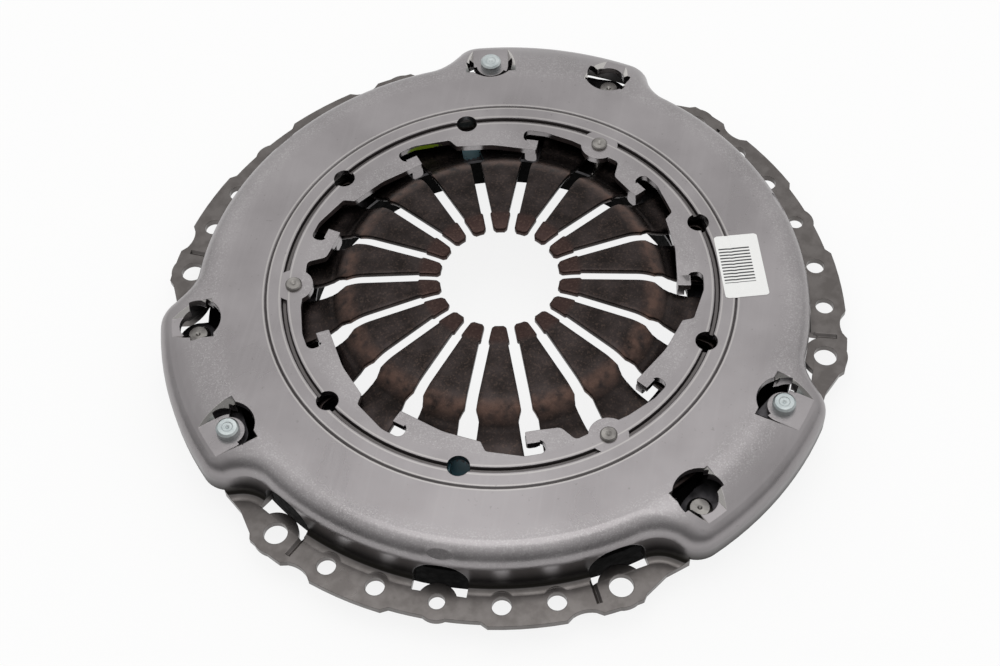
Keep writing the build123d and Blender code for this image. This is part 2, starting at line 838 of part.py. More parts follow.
# Sensor spring: coned washer that holds the diaphragm up against the adjuster ring
sensor_top = spring_top(sensor_outer_radius) - spring_thickness - seat_gap
sensor_inner_top = sensor_top - sensor_cone_drop
sensor_spots = [polar(lobe_circle, centre + lobe_angle) for centre in segment_angles]
with BuildPart() as sensor_spring:
    with BuildSketch(Plane.XZ):
        with BuildLine():
            Polyline(
                (sensor_outer_radius, sensor_top),
                (sensor_inner_radius, sensor_inner_top),
                (sensor_inner_radius, sensor_inner_top - sensor_thickness),
                (sensor_outer_radius, sensor_top - sensor_thickness),
                close=True,
            )
        make_face()
    revolve(axis=Axis.Z)
    with BuildSketch():
        with Locations(*sensor_spots):
            Circle(bolt_shank / 2 + rivet_gap)
    extrude(amount=cover_height, mode=Mode.SUBTRACT)

sensor_spring.part.label = "sensor_spring"
export_step(sensor_spring.part, "parts/sensor_spring.step")

# Sensor bolts: set in the cover's lobes, through the keyholes, each with a foot under the sensor spring
foot_top = sensor_inner_top - sensor_thickness - seat_gap
for number, spot in enumerate(sensor_spots, start=1):
    with BuildPart() as sensor_bolt:
        with BuildSketch(Plane(origin=(*spot, 0), x_dir=(1, 0, 0), z_dir=(0, -1, 0))):
            with BuildLine():
                dimple = bolt_head / 5
                Polyline(
                    (0, foot_top - bolt_foot_height),
                    (bolt_foot / 2, foot_top - bolt_foot_height),
                    (bolt_foot / 2, foot_top),
                    (bolt_shank / 2, foot_top),
                    (bolt_shank / 2, cover_height),
                    (bolt_head / 2, cover_height),
                    (bolt_head / 2, cover_height + 0.6 * bolt_head_height),
                    (bolt_head / 2 - 0.5, cover_height + bolt_head_height),
                    (dimple, cover_height + bolt_head_height),
                    (0, cover_height + bolt_head_height - dimple / 2),
                    close=True,
                )
            make_face()
        revolve(axis=Axis((*spot, 0), (0, 0, 1)))
    sensor_bolt.part.label = f"sensor_bolt_{number}"
    export_step(sensor_bolt.part, f"parts/sensor_bolt_{number}.step")


# Leaf springs: packs of flat strips from a pad of the cover down to a lug of the plate
leaf_span = 2 * pad_circle * sin(radians(pad_angle))
leaf_circle = pad_circle * cos(radians(pad_angle))
leaf_end = (leaf_span + leaf_width) / 2 + 1
leaf_knee = (leaf_span - leaf_flat) / 2
pack_bottom = lug_top + seat_gap
for bay_number, centre in enumerate(bay_angles, start=1):
    for level in range(leaf_count):
        lug_face = pack_bottom + (leaf_count - level) * leaf_thickness
        pad_face = pad_underside - level * leaf_thickness
        top = [(-leaf_end, lug_face), (-leaf_knee, lug_face), (leaf_knee, pad_face), (leaf_end, pad_face)]
        middle = (*polar(leaf_circle, centre), 0)
        plan = Plane(origin=middle, x_dir=radial_plane(centre).x_dir, z_dir=(0, 0, 1))
        with BuildPart() as leaf_spring:
            with BuildSketch(radial_plane(centre, leaf_circle)):
                with BuildLine():
                    Polyline(top + [(x, z - leaf_thickness) for x, z in reversed(top)], close=True)
                make_face()
            extrude(amount=leaf_width / 2, both=True)
            with BuildSketch(plan):
                SlotCenterToCenter(leaf_span, leaf_width)
                with Locations((leaf_span / 2, 0)):
                    Circle(rivet_shank / 2 + rivet_gap, mode=Mode.SUBTRACT)
                with Locations((-leaf_span / 2, 0)):
                    Circle(rivet_shank / 2 + leaf_play, mode=Mode.SUBTRACT)
            extrude(amount=cover_height, mode=Mode.INTERSECT)
        leaf_spring.part.label = f"leaf_spring_{bay_number}_{leaf_names[level]}"
        export_step(leaf_spring.part, f"parts/leaf_spring_{bay_number}_{leaf_names[level]}.step")

# Rivets that fix one end of each pack to the cover
pack_height = leaf_count * leaf_thickness
for number, centre in enumerate(bay_angles, start=1):
    spot = polar(pad_circle, centre + pad_angle)
    foot = pad_underside - pack_height
    with BuildPart() as cover_rivet:
        with BuildSketch(Plane(origin=(*spot, 0), x_dir=(1, 0, 0), z_dir=(0, -1, 0))):
            with BuildLine():
                Polyline(
                    (0, foot - rivet_foot_height),
                    (rivet_foot / 2 - 0.6, foot - rivet_foot_height),
                    (rivet_foot / 2, foot - rivet_foot_height + 0.6),
                    (rivet_foot / 2, foot),
                    (rivet_shank / 2, foot),
                    (rivet_shank / 2, pad_top),
                    (rivet_head / 2, pad_top),
                    (rivet_head / 2, pad_top + 0.75 * rivet_head_height),
                    (rivet_head / 2 - 0.8, pad_top + rivet_head_height),
                    (0.5 * rivet_head / 2, pad_top + rivet_head_height),
                    (0.42 * rivet_head / 2, pad_top + rivet_head_height - 0.3),
                    (0.2 * rivet_head / 2, pad_top + rivet_head_height - 0.3),
                    (0, pad_top + rivet_head_height - 0.9),
                    close=True,
                )
            make_face()
        revolve(axis=Axis((*spot, 0), (0, 0, 1)))
    cover_rivet.part.label = f"cover_rivet_{number}"
    export_step(cover_rivet.part, f"parts/cover_rivet_{number}.step")

# Rivets that fix the other end to the lugs of the plate
for number, centre in enumerate(bay_angles, start=1):
    spot = polar(pad_circle, centre - pad_angle)
    pack_top = pack_bottom + pack_height + seat_gap
    with BuildPart() as plate_rivet:
        with BuildSketch(Plane(origin=(*spot, 0), x_dir=(1, 0, 0), z_dir=(0, -1, 0))):
            with BuildLine():
                Polyline(
                    (0, lug_bottom - rivet_foot_height),
                    (rivet_foot / 2 - 0.6, lug_bottom - rivet_foot_height),
                    (rivet_foot / 2, lug_bottom - rivet_foot_height + 0.6),
                    (rivet_foot / 2, lug_bottom),
                    (rivet_shank / 2, lug_bottom),
                    (rivet_shank / 2, pack_top),
                    (plate_rivet_head / 2, pack_top),
                    (plate_rivet_head / 2, pack_top + 0.5 * plate_rivet_head_height),
                    (plate_rivet_head / 2 - 1.2, pack_top + plate_rivet_head_height),
                    (0.2 * plate_rivet_head / 2, pack_top + plate_rivet_head_height),
                    (0, pack_top + plate_rivet_head_height - 0.6),
                    close=True,
                )
            make_face()
        revolve(axis=Axis((*spot, 0), (0, 0, 1)))
    plate_rivet.part.label = f"plate_rivet_{number}"
    export_step(plate_rivet.part, f"parts/plate_rivet_{number}.step")
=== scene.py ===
import bpy, bmesh, json
from math import asin, atan2, cos, degrees, pi, radians, sin, sqrt
from mathutils import Matrix, Vector


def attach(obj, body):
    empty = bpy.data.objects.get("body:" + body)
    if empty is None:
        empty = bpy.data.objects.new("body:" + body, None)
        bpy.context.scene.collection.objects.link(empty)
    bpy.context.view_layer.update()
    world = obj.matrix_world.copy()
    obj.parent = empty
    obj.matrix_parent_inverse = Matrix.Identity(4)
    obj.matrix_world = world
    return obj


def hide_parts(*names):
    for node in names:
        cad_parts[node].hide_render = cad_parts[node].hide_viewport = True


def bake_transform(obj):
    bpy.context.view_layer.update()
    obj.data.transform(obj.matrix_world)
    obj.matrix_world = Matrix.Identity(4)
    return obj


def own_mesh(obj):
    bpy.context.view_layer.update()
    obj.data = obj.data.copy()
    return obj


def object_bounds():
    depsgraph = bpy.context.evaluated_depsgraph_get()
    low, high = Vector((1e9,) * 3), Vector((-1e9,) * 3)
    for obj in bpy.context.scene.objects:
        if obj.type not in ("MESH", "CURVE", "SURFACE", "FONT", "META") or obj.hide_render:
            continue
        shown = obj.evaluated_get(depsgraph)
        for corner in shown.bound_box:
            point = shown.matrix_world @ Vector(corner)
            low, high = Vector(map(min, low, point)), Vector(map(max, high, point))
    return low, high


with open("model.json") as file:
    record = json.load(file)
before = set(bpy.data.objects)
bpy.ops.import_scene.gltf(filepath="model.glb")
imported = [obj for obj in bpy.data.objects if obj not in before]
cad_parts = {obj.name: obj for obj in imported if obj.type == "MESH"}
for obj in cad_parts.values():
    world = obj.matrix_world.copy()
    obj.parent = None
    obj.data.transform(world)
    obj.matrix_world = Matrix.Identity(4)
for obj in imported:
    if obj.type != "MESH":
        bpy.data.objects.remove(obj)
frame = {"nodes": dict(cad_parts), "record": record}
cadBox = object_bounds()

mm = 0.001
# in metres: corners closer than weld are made one, and what is under tiny counts as nothing
weld, tiny = 1e-6, 1e-7


# Colours and nodes

def srgb(code):
    channels = [int(code[i:i + 2], 16) / 255 for i in (1, 3, 5)]
    return [c / 12.92 if c <= 0.04045 else ((c + 0.055) / 1.055) ** 2.4 for c in channels] + [1.0]


def addNode(tree, kind, options=None, inputs=None, out=0):
    # options are the node's own settings; an input is a value, a hex colour or another node's output
    node = tree.nodes.new(kind)
    for name, value in (options or {}).items():
        setattr(node, name, value)
    for name, value in (inputs or {}).items():
        if isinstance(value, bpy.types.NodeSocket):
            tree.links.new(value, node.inputs[name])
        else:
            node.inputs[name].default_value = srgb(value) if isinstance(value, str) else value
    return node.outputs[out] if len(node.outputs) else node


times, plus, minus, most = [{"operation": name} for name in ("MULTIPLY", "ADD", "SUBTRACT", "MAXIMUM")]
mixed = {"data_type": "RGBA"}
aboutZ = {"rotation_type": "Z_AXIS"}


def newMaterial(name):
    # gives the material, its tree, its surface shader and the place on the object in millimetres
    material = bpy.data.materials.new(name)
    material.use_nodes = True
    tree = material.node_tree
    tree.nodes.clear()
    surface = tree.nodes.new("ShaderNodeBsdfPrincipled")
    addNode(tree, "ShaderNodeOutputMaterial", inputs={"Surface": surface.outputs[0]})
    place = addNode(tree, "ShaderNodeTexCoord", out="Object")
    place = addNode(tree, "ShaderNodeVectorMath", {"operation": "SCALE"}, {0: place, "Scale": 1 / mm})
    return material, tree, surface, place


def roundPlace(tree, place):
    # distance from the clutch's axis, and height, in millimetres
    flat = addNode(tree, "ShaderNodeVectorMath", times, {0: place, 1: (1, 1, 0)})
    radius = addNode(tree, "ShaderNodeVectorMath", {"operation": "LENGTH"}, {0: flat}, out="Value")
    return radius, addNode(tree, "ShaderNodeSeparateXYZ", inputs={0: place}, out="Z")


# the same in every material: the sizes of noise that lie over each other, and the samples of a worn edge
fineness = {"noiseDetail": 3.0, "edgeSamples": 6}


def patches(tree, place, pattern, stretch=(1, 1, 1)):
    # soft patches from 0 to 1; a pattern is a size in millimetres and the noise values that become 0 and 1
    size, low, high = pattern
    drawn = addNode(tree, "ShaderNodeVectorMath", times, {0: place, 1: stretch})
    cloud = {"Vector": drawn, "Scale": 1 / size, "Detail": fineness["noiseDetail"]}
    cloud = addNode(tree, "ShaderNodeTexNoise", inputs=cloud)
    return addNode(tree, "ShaderNodeMapRange", inputs={"Value": cloud, "From Min": low, "From Max": high})


def facets(tree, place, size):
    # crystal facets of a size in millimetres, each with its own value from 0 to 1
    cell = addNode(tree, "ShaderNodeTexVoronoi", inputs={"Vector": place, "Scale": 1 / size}, out="Color")
    return addNode(tree, "ShaderNodeSeparateColor", inputs={0: cell})


def zone(tree, value, low, high, soft):
    # 1 between low and high, falling to 0 over soft on either side
    rise = {"Value": value, "From Min": low - soft, "From Max": low}
    fall = {"Value": value, "From Min": high + soft, "From Max": high}
    rise = addNode(tree, "ShaderNodeMapRange", inputs=rise)
    fall = addNode(tree, "ShaderNodeMapRange", inputs=fall)
    return addNode(tree, "ShaderNodeMath", times, {0: rise, 1: fall})


# how a brush leaves paint: size of its ragged edge in mm, and where the paint begins and ends
brush = {"ragged": 1.25, "outside": 1.02, "inside": 0.96}


def paintSpot(tree, place, spot):
    # brushed-on paint: an oval with a ragged edge, 1 inside
    scale = 1 / brush["ragged"]
    ragged = addNode(tree, "ShaderNodeTexNoise", inputs={"Vector": place, "Scale": scale}, out="Color")
    ragged = addNode(tree, "ShaderNodeVectorMath", minus, {0: ragged, 1: (0.5, 0.5, 0.5)})
    moved = addNode(tree, "ShaderNodeVectorMath", minus, {0: place, 1: spot["centre"]})
    turned = addNode(tree, "ShaderNodeVectorRotate", aboutZ, {0: moved, "Angle": radians(-spot["turn"])})
    scaled = addNode(tree, "ShaderNodeVectorMath", {"operation": "DIVIDE"}, {0: turned, 1: spot["half"]})
    shaken = addNode(tree, "ShaderNodeVectorMath", plus, {0: scaled, 1: ragged})
    reach = addNode(tree, "ShaderNodeVectorMath", {"operation": "LENGTH"}, {0: shaken}, out="Value")
    cover = {"Value": reach, "From Min": brush["outside"], "From Max": brush["inside"]}
    return addNode(tree, "ShaderNodeMapRange", inputs=cover)


def relieve(tree, surface, height, depth, edge):
    # relief of a depth, and edges worn round, both in millimetres
    rounded = addNode(tree, "ShaderNodeBevel", {"samples": fineness["edgeSamples"]}, {"Radius": edge * mm})
    bump = {"Height": height, "Distance": depth * mm, "Normal": rounded}
    tree.links.new(addNode(tree, "ShaderNodeBump", inputs=bump), surface.inputs["Normal"])


# Deep-drawn mild steel sheet: satin from the rolls, with painted glints on crystals where the die stretched
# its grain, dull brown on the flange, with painted shade down to the foot of the walls, polished where the
# punch pressed it sharply and lightened there by a painted highlight.
# The real crystals are about 0.1 mm, and are drawn coarser so that they show.
coverSteelLook = {
    "sheet": "#989495", "shade": "#8c8889", "cloud": (30.0, 0.35, 0.65), "rough": (0.27, 0.34),
    "rolled": "#b0adad", "rollMarks": (2.4, 0.50, 0.80), "rollStretch": (1.0, 0.05, 1.0), "rollShare": 0.10,
    # stretched zones: inner and outer radius in mm and how they fade, and the heights where they begin
    "stretched": ((111.0, 121.0, 4.0), (66.0, 77.0, 2.0)), "stretchedFrom": (14.0, 19.0),
    # the painted glint on the crystals: its colour, crystal size, power and share, and the relief the
    # crystals give
    "glint": "#e2e2e0", "crystal": 0.42, "glintPower": 4.0, "sparkle": 0.16, "glintRelief": 1.5,
    "flange": "#6b6765", "flangeShade": "#5f5b59", "stain": (5.0, 0.38, 0.62),
    "flangeTop": 3.4, "flangeFade": 0.6,
    # rolled beads: radius in mm, half width of the painted shade in the groove, distance to the crests with a
    # painted highlight
    "beads": ((84.0, 0.8, 1.9), (91.3, 0.35, 0.95)), "grooveFade": 0.4, "grooveShare": 0.7,
    "crest": "#c4c1bd", "crestHalf": 0.15, "crestFade": 0.25, "crestShare": 0.45,
    "sunkFrom": (22.9, 22.5), "levelFrom": (22.7, 22.95),
    # painted shade on the wall, from its foot up, in mm
    "paintedShade": "#2b2926", "wall": (4.5, 14.0), "wallSeam": (0.4, 0.3), "wallRough": 0.45,
    # facets of the pressed pads, polished by the punch and lightened by a painted highlight: place, reach and
    # heights in mm, and their slopes
    "polishAndHighlight": "#bdbab7", "padCircle": 119.0, "padAngles": (342.4, 102.4, 222.4, 317.6, 77.6, 197.6),
    "padMiddle": 20.0, "padReach": (13.0, 12.0), "padHeights": (18.95, 22.6, 0.1),
    "padSlopes": (0.25, 0.80, 0.03), "padRough": 0.15,
    # a dark tone for the smears of dirt, and for the painted shade in the bead grooves
    "dirtAndShade": "#3d3936", "smears": (1.6, 0.68, 0.76), "smearShare": 0.22,
    "grain": (0.45, 0.2, 0.8), "relief": 0.006, "edge": 0.35,
}
# green paint on the wall of one ratchet slot, as a checked mark
slotPaint = {"colour": "#7f9a1e", "centre": (-43.2, 65.6, 21.2), "half": (8.0, 2.6, 1.25), "turn": 33.4}


def stretchedGlint(tree, place, radius, height):
    # crystals where the sheet was drawn round the shoulder and the inner edge, for a painted glint in the
    # colour and for the relief
    look = coverSteelLook
    outer, inner = [zone(tree, radius, *limits) for limits in look["stretched"]]
    drawn = addNode(tree, "ShaderNodeMath", most, {0: outer, 1: inner})
    low, high = look["stretchedFrom"]
    onTop = addNode(tree, "ShaderNodeMapRange", inputs={"Value": height, "From Min": low, "From Max": high})
    drawn = addNode(tree, "ShaderNodeMath", times, {0: drawn, 1: onTop})
    crystal = facets(tree, place, look["crystal"])
    bright = addNode(tree, "ShaderNodeMath", {"operation": "POWER"}, {0: crystal, 1: look["glintPower"]})
    return addNode(tree, "ShaderNodeMath", times, {0: drawn, 1: bright})


def sheetColour(tree, place, cloud, glint, height):
    # cloudy tone, faint marks of the rolls, painted glints on the crystals and the stained flange
    look = coverSteelLook
    colour = addNode(tree, "ShaderNodeMix", mixed, {0: cloud, 6: look["shade"], 7: look["sheet"]}, out=2)
    streak = patches(tree, place, look["rollMarks"], look["rollStretch"])
    streak = addNode(tree, "ShaderNodeMath", times, {0: streak, 1: look["rollShare"]})
    colour = addNode(tree, "ShaderNodeMix", mixed, {0: streak, 6: colour, 7: look["rolled"]}, out=2)
    # painted highlight: near-white glints on the crystals
    share = addNode(tree, "ShaderNodeMath", times, {0: glint, 1: look["sparkle"]})
    colour = addNode(tree, "ShaderNodeMix", mixed, {0: share, 6: colour, 7: look["glint"]}, out=2)
    top = look["flangeTop"]
    below = {"Value": height, "From Min": top + look["flangeFade"], "From Max": top}
    onFlange = addNode(tree, "ShaderNodeMapRange", inputs=below)
    stain = patches(tree, place, look["stain"])
    tones = {0: stain, 6: look["flangeShade"], 7: look["flange"]}
    flange = addNode(tree, "ShaderNodeMix", mixed, tones, out=2)
    return addNode(tree, "ShaderNodeMix", mixed, {0: onFlange, 6: colour, 7: flange}, out=2)


def beadColour(tree, radius, height, colour):
    # painted shade in the grooves of the beads and a painted highlight along a crest on either side
    look = coverSteelLook
    levels = []
    for low, high in (look["sunkFrom"], look["levelFrom"]):
        level = {"Value": height, "From Min": low, "From Max": high}
        levels.append(addNode(tree, "ShaderNodeMapRange", inputs=level))
    sunk, level = levels
    for middle, groove, crest in look["beads"]:
        # painted shade in the groove
        inside = zone(tree, radius, middle - groove, middle + groove, look["grooveFade"])
        inside = addNode(tree, "ShaderNodeMath", times, {0: inside, 1: sunk})
        inside = addNode(tree, "ShaderNodeMath", times, {0: inside, 1: look["grooveShare"]})
        colour = addNode(tree, "ShaderNodeMix", mixed, {0: inside, 6: colour, 7: look["dirtAndShade"]}, out=2)
        for line in (middle - crest, middle + crest):
            # painted highlight along the crest
            edge = zone(tree, radius, line - look["crestHalf"], line + look["crestHalf"], look["crestFade"])
            edge = addNode(tree, "ShaderNodeMath", times, {0: edge, 1: level})
            edge = addNode(tree, "ShaderNodeMath", times, {0: edge, 1: look["crestShare"]})
            colour = addNode(tree, "ShaderNodeMix", mixed, {0: edge, 6: colour, 7: look["crest"]}, out=2)
    return colour


def wallPaintedShade(tree, height):
    # painted shade: 1 at the foot of the wall, less further up, and none on the flange
    look = coverSteelLook
    (low, high), (gap, fade) = look["wall"], look["wallSeam"]
    paintedShade = addNode(tree, "ShaderNodeMapRange", inputs={"Value": height, "From Min": high, "From Max": low})
    wall = zone(tree, height, look["flangeTop"] + gap, high, fade)
    return addNode(tree, "ShaderNodeMath", times, {0: paintedShade, 1: wall})


def punchPolishAndHighlight(tree, place, height):
    # 1 on the sloped facets of the pads and the tool holes, where they are polished and get a painted
    # highlight
    look = coverSteelLook
    far, near = look["padReach"]
    circle, middle = look["padCircle"], look["padMiddle"]
    pressed = 0.0
    for angle in look["padAngles"]:
        reach = {0: place, 1: (circle * cos(radians(angle)), circle * sin(radians(angle)), middle)}
        reach = addNode(tree, "ShaderNodeVectorMath", {"operation": "DISTANCE"}, reach, out="Value")
        pad = addNode(tree, "ShaderNodeMapRange", inputs={"Value": reach, "From Min": far, "From Max": near})
        pad = addNode(tree, "ShaderNodeMath", times, {0: pad, 1: zone(tree, height, *look["padHeights"])})
        pressed = addNode(tree, "ShaderNodeMath", most, {0: pressed, 1: pad})
    facing = addNode(tree, "ShaderNodeNewGeometry", out="Normal")
    slope = addNode(tree, "ShaderNodeSeparateXYZ", inputs={0: facing}, out="Z")
    return addNode(tree, "ShaderNodeMath", times, {0: pressed, 1: zone(tree, slope, *look["padSlopes"])})


def makeCoverSteel():
    look = coverSteelLook
    material, tree, surface, place = newMaterial("drawnSteelSheet")
    radius, height = roundPlace(tree, place)
    cloud = patches(tree, place, look["cloud"])
    glint = stretchedGlint(tree, place, radius, height)
    colour = sheetColour(tree, place, cloud, glint, height)
    colour = beadColour(tree, radius, height, colour)
    # painted shade, darkest at the foot of the wall
    wall = wallPaintedShade(tree, height)
    colour = addNode(tree, "ShaderNodeMix", mixed, {0: wall, 6: colour, 7: look["paintedShade"]}, out=2)
    # polish on the pressed facets, with a lighter colour as a painted highlight
    pressed = punchPolishAndHighlight(tree, place, height)
    colour = addNode(tree, "ShaderNodeMix", mixed, {0: pressed, 6: colour, 7: look["polishAndHighlight"]}, out=2)
    smear = patches(tree, place, look["smears"])
    smear = addNode(tree, "ShaderNodeMath", times, {0: smear, 1: look["smearShare"]})
    colour = addNode(tree, "ShaderNodeMix", mixed, {0: smear, 6: colour, 7: look["dirtAndShade"]}, out=2)
    paint = paintSpot(tree, place, slotPaint)
    colour = addNode(tree, "ShaderNodeMix", mixed, {0: paint, 6: colour, 7: slotPaint["colour"]}, out=2)
    bare = addNode(tree, "ShaderNodeMath", minus, {0: 1.0, 1: paint})
    low, high = look["rough"]
    rough = addNode(tree, "ShaderNodeMapRange", inputs={"Value": cloud, "To Min": low, "To Max": high})
    rough = addNode(tree, "ShaderNodeMix", inputs={0: wall, 2: rough, 3: look["wallRough"]})
    rough = addNode(tree, "ShaderNodeMix", inputs={0: pressed, 2: rough, 3: look["padRough"]})
    for name, value in (("Base Color", colour), ("Metallic", bare), ("Roughness", rough)):
        tree.links.new(value, surface.inputs[name])
    relief = {0: glint, 1: look["glintRelief"], 2: patches(tree, place, look["grain"])}
    relief = addNode(tree, "ShaderNodeMath", {"operation": "MULTIPLY_ADD"}, relief)
    relieve(tree, surface, relief, look["relief"], look["edge"])
    return material


# Spring steel, hardened in oil and shot peened: black-brown oxide, a painted copper sheen in the sharp bend,
# red-brown where the tips are hardened again. The shot's dents are drawn at 0.6 mm so that they show.
springSteelLook = {
    "oxide": "#373130", "dark": "#252120", "cloud": (9.0, 0.34, 0.66), "rough": (0.27, 0.38),
    "copperSheen": "#57453e", "bend": (59.0, 61.0, 4.0), "sheenPatches": (4.0, 0.30, 0.60),
    "tip": "#3d2e2b", "tipZone": (32.5, 30.0), "tipShare": 0.7,
    "speck": "#786459", "shot": 0.6, "speckPower": 5.0, "speckShare": 0.15, "relief": 0.012, "edge": 0.3,
}
# blue-green paint seen through a view hole and in a keyhole
rimPaint = {"colour": "#2c5a66", "centre": (-1.4, -82.5, 16.0), "half": (4.6, 4.6, 6.0), "turn": 0.0}
sensorPaints = [
    {"colour": "#2c5a66", "centre": (-1.6, -80.0, 11.0), "half": (6.5, 6.0, 6.0), "turn": 0.0},
    {"colour": "#3f7480", "centre": (-26.9, 74.8, 11.0), "half": (4.6, 5.2, 6.0), "turn": 20.0},
]


def makeSpringSteel():
    look = springSteelLook
    material, tree, surface, place = newMaterial("oilHardenedSpringSteel")
    radius = roundPlace(tree, place)[0]
    cloud = patches(tree, place, look["cloud"])
    colour = addNode(tree, "ShaderNodeMix", mixed, {0: cloud, 6: look["dark"], 7: look["oxide"]}, out=2)
    # painted sheen: a copper tone in patches along the sharp bend
    bend = zone(tree, radius, *look["bend"])
    paintedSheen = addNode(tree, "ShaderNodeMath", times, {0: bend, 1: patches(tree, place, look["sheenPatches"])})
    colour = addNode(tree, "ShaderNodeMix", mixed, {0: paintedSheen, 6: colour, 7: look["copperSheen"]}, out=2)
    far, near = look["tipZone"]
    tip = addNode(tree, "ShaderNodeMapRange", inputs={"Value": radius, "From Min": far, "From Max": near})
    tip = addNode(tree, "ShaderNodeMath", times, {0: tip, 1: look["tipShare"]})
    colour = addNode(tree, "ShaderNodeMix", mixed, {0: tip, 6: colour, 7: look["tip"]}, out=2)
    dent = facets(tree, place, look["shot"])
    speck = addNode(tree, "ShaderNodeMath", {"operation": "POWER"}, {0: dent, 1: look["speckPower"]})
    speck = addNode(tree, "ShaderNodeMath", times, {0: speck, 1: look["speckShare"]})
    colour = addNode(tree, "ShaderNodeMix", mixed, {0: speck, 6: colour, 7: look["speck"]}, out=2)
    paint = paintSpot(tree, place, rimPaint)
    colour = addNode(tree, "ShaderNodeMix", mixed, {0: paint, 6: colour, 7: rimPaint["colour"]}, out=2)
    bare = addNode(tree, "ShaderNodeMath", minus, {0: 1.0, 1: paint})
    low, high = look["rough"]
    rough = addNode(tree, "ShaderNodeMapRange", inputs={"Value": dent, "To Min": low, "To Max": high})
    for name, value in (("Base Color", colour), ("Metallic", bare), ("Roughness", rough)):
        tree.links.new(value, surface.inputs[name])
    relief = addNode(tree, "ShaderNodeMath", plus, {0: dent, 1: cloud})
    relieve(tree, surface, relief, look["relief"], look["edge"])
    return material


# Grey cast iron: black-brown sand-cast skin, turned to fine rings on the friction face.
# The tool's feed is nearer 0.3 mm, and is drawn coarser so that it shows.
castIronLook = {
    "skin": "#0d0c0c", "dark": "#060606", "sand": (2.4, 0.3, 0.7), "rough": (0.72, 0.55), "specular": 0.02,
    "turned": "#77787a", "faceTop": -8.85, "toolMark": 0.8, "turnedRough": 0.34, "markRough": 0.05,
    "markRelief": 0.2, "relief": 0.05, "edge": 0.4,
}


def makeCastIron():
    look = castIronLook
    material, tree, surface, place = newMaterial("greyCastIron")
    radius, height = roundPlace(tree, place)
    sand = patches(tree, place, look["sand"])
    skin = addNode(tree, "ShaderNodeMix", mixed, {0: sand, 6: look["dark"], 7: look["skin"]}, out=2)
    face = addNode(tree, "ShaderNodeMath", {"operation": "LESS_THAN"}, {0: height, 1: look["faceTop"]})
    colour = addNode(tree, "ShaderNodeMix", mixed, {0: face, 6: skin, 7: look["turned"]}, out=2)
    rings = addNode(tree, "ShaderNodeMath", times, {0: radius, 1: 2 * pi / look["toolMark"]})
    rings = addNode(tree, "ShaderNodeMath", {"operation": "SINE"}, {0: rings})
    rings = addNode(tree, "ShaderNodeMath", times, {0: rings, 1: face})
    low, high = look["rough"]
    rough = addNode(tree, "ShaderNodeMapRange", inputs={"Value": sand, "To Min": low, "To Max": high})
    turned = {0: rings, 1: look["markRough"], 2: look["turnedRough"]}
    turned = addNode(tree, "ShaderNodeMath", {"operation": "MULTIPLY_ADD"}, turned)
    rough = addNode(tree, "ShaderNodeMix", inputs={0: face, 2: rough, 3: turned})
    surface.inputs["Specular IOR Level"].default_value = look["specular"]
    for name, value in (("Base Color", colour), ("Roughness", rough), ("Metallic", face)):
        tree.links.new(value, surface.inputs[name])
    relief = {0: rings, 1: look["markRelief"], 2: sand}
    relief = addNode(tree, "ShaderNodeMath", {"operation": "MULTIPLY_ADD"}, relief)
    relieve(tree, surface, relief, look["relief"], look["edge"])
    return material


# Smaller steel pieces, each with a cloudy tone and a fine grain
fineSteelLooks = {
    # tempered strip and wire with a blue-black oxide: leaf springs, sensor spring, coils
    "blued_steel": {
        "name": "temperedStrip", "tone": "#494749", "dark": "#2b2a2c", "rough": 0.32,
        "grain": (0.5, 0.2, 0.8), "relief": 0.006, "paints": sensorPaints,
    },
    # stamped sheet, grey and still oily from the press: ramp track and adjuster ring
    "stamped_steel": {
        "name": "stampedSteel", "tone": "#5f5d5b", "dark": "#454341", "rough": 0.33,
        "grain": (0.5, 0.2, 0.8), "relief": 0.01, "paints": [],
    },
    # dull zinc plate, pale and faintly blue-green: the rivets of the pads
    "zinc": {
        "name": "zincPlatedRivet", "tone": "#c6cccc", "dark": "#a6aeaf", "rough": 0.30,
        "grain": (0.7, 0.2, 0.8), "relief": 0.02, "paints": [],
    },
    # cold-headed steel left plain, warm grey and smooth: sensor bolts and the rivets of the lugs
    "rivet_steel": {
        "name": "coldHeadedSteel", "tone": "#96938f", "dark": "#6b6866", "rough": 0.28,
        "grain": (0.5, 0.2, 0.8), "relief": 0.01, "paints": [],
    },
}
# the same for all of them; the grain is finer than 0.1 mm, and is drawn coarser so that it shows
fineSteel = {"cloud": (5.0, 0.35, 0.65), "grainRough": 0.12, "edge": 0.25}


def makeFineSteel(look):
    material, tree, surface, place = newMaterial(look["name"])
    cloud = patches(tree, place, fineSteel["cloud"])
    grain = patches(tree, place, look["grain"])
    colour = addNode(tree, "ShaderNodeMix", mixed, {0: cloud, 6: look["dark"], 7: look["tone"]}, out=2)
    surface.inputs["Metallic"].default_value = 1.0
    bare = 1.0
    for spot in look["paints"]:
        paint = paintSpot(tree, place, spot)
        colour = addNode(tree, "ShaderNodeMix", mixed, {0: paint, 6: colour, 7: spot["colour"]}, out=2)
        bare = addNode(tree, "ShaderNodeMath", minus, {0: bare, 1: paint})
        tree.links.new(bare, surface.inputs["Metallic"])
    rough = {0: grain, 1: fineSteel["grainRough"], 2: look["rough"]}
    rough = addNode(tree, "ShaderNodeMath", {"operation": "MULTIPLY_ADD"}, rough)
    for name, value in (("Base Color", colour), ("Roughness", rough)):
        tree.links.new(value, surface.inputs[name])
    relieve(tree, surface, grain, look["relief"], fineSteel["edge"])
    return material


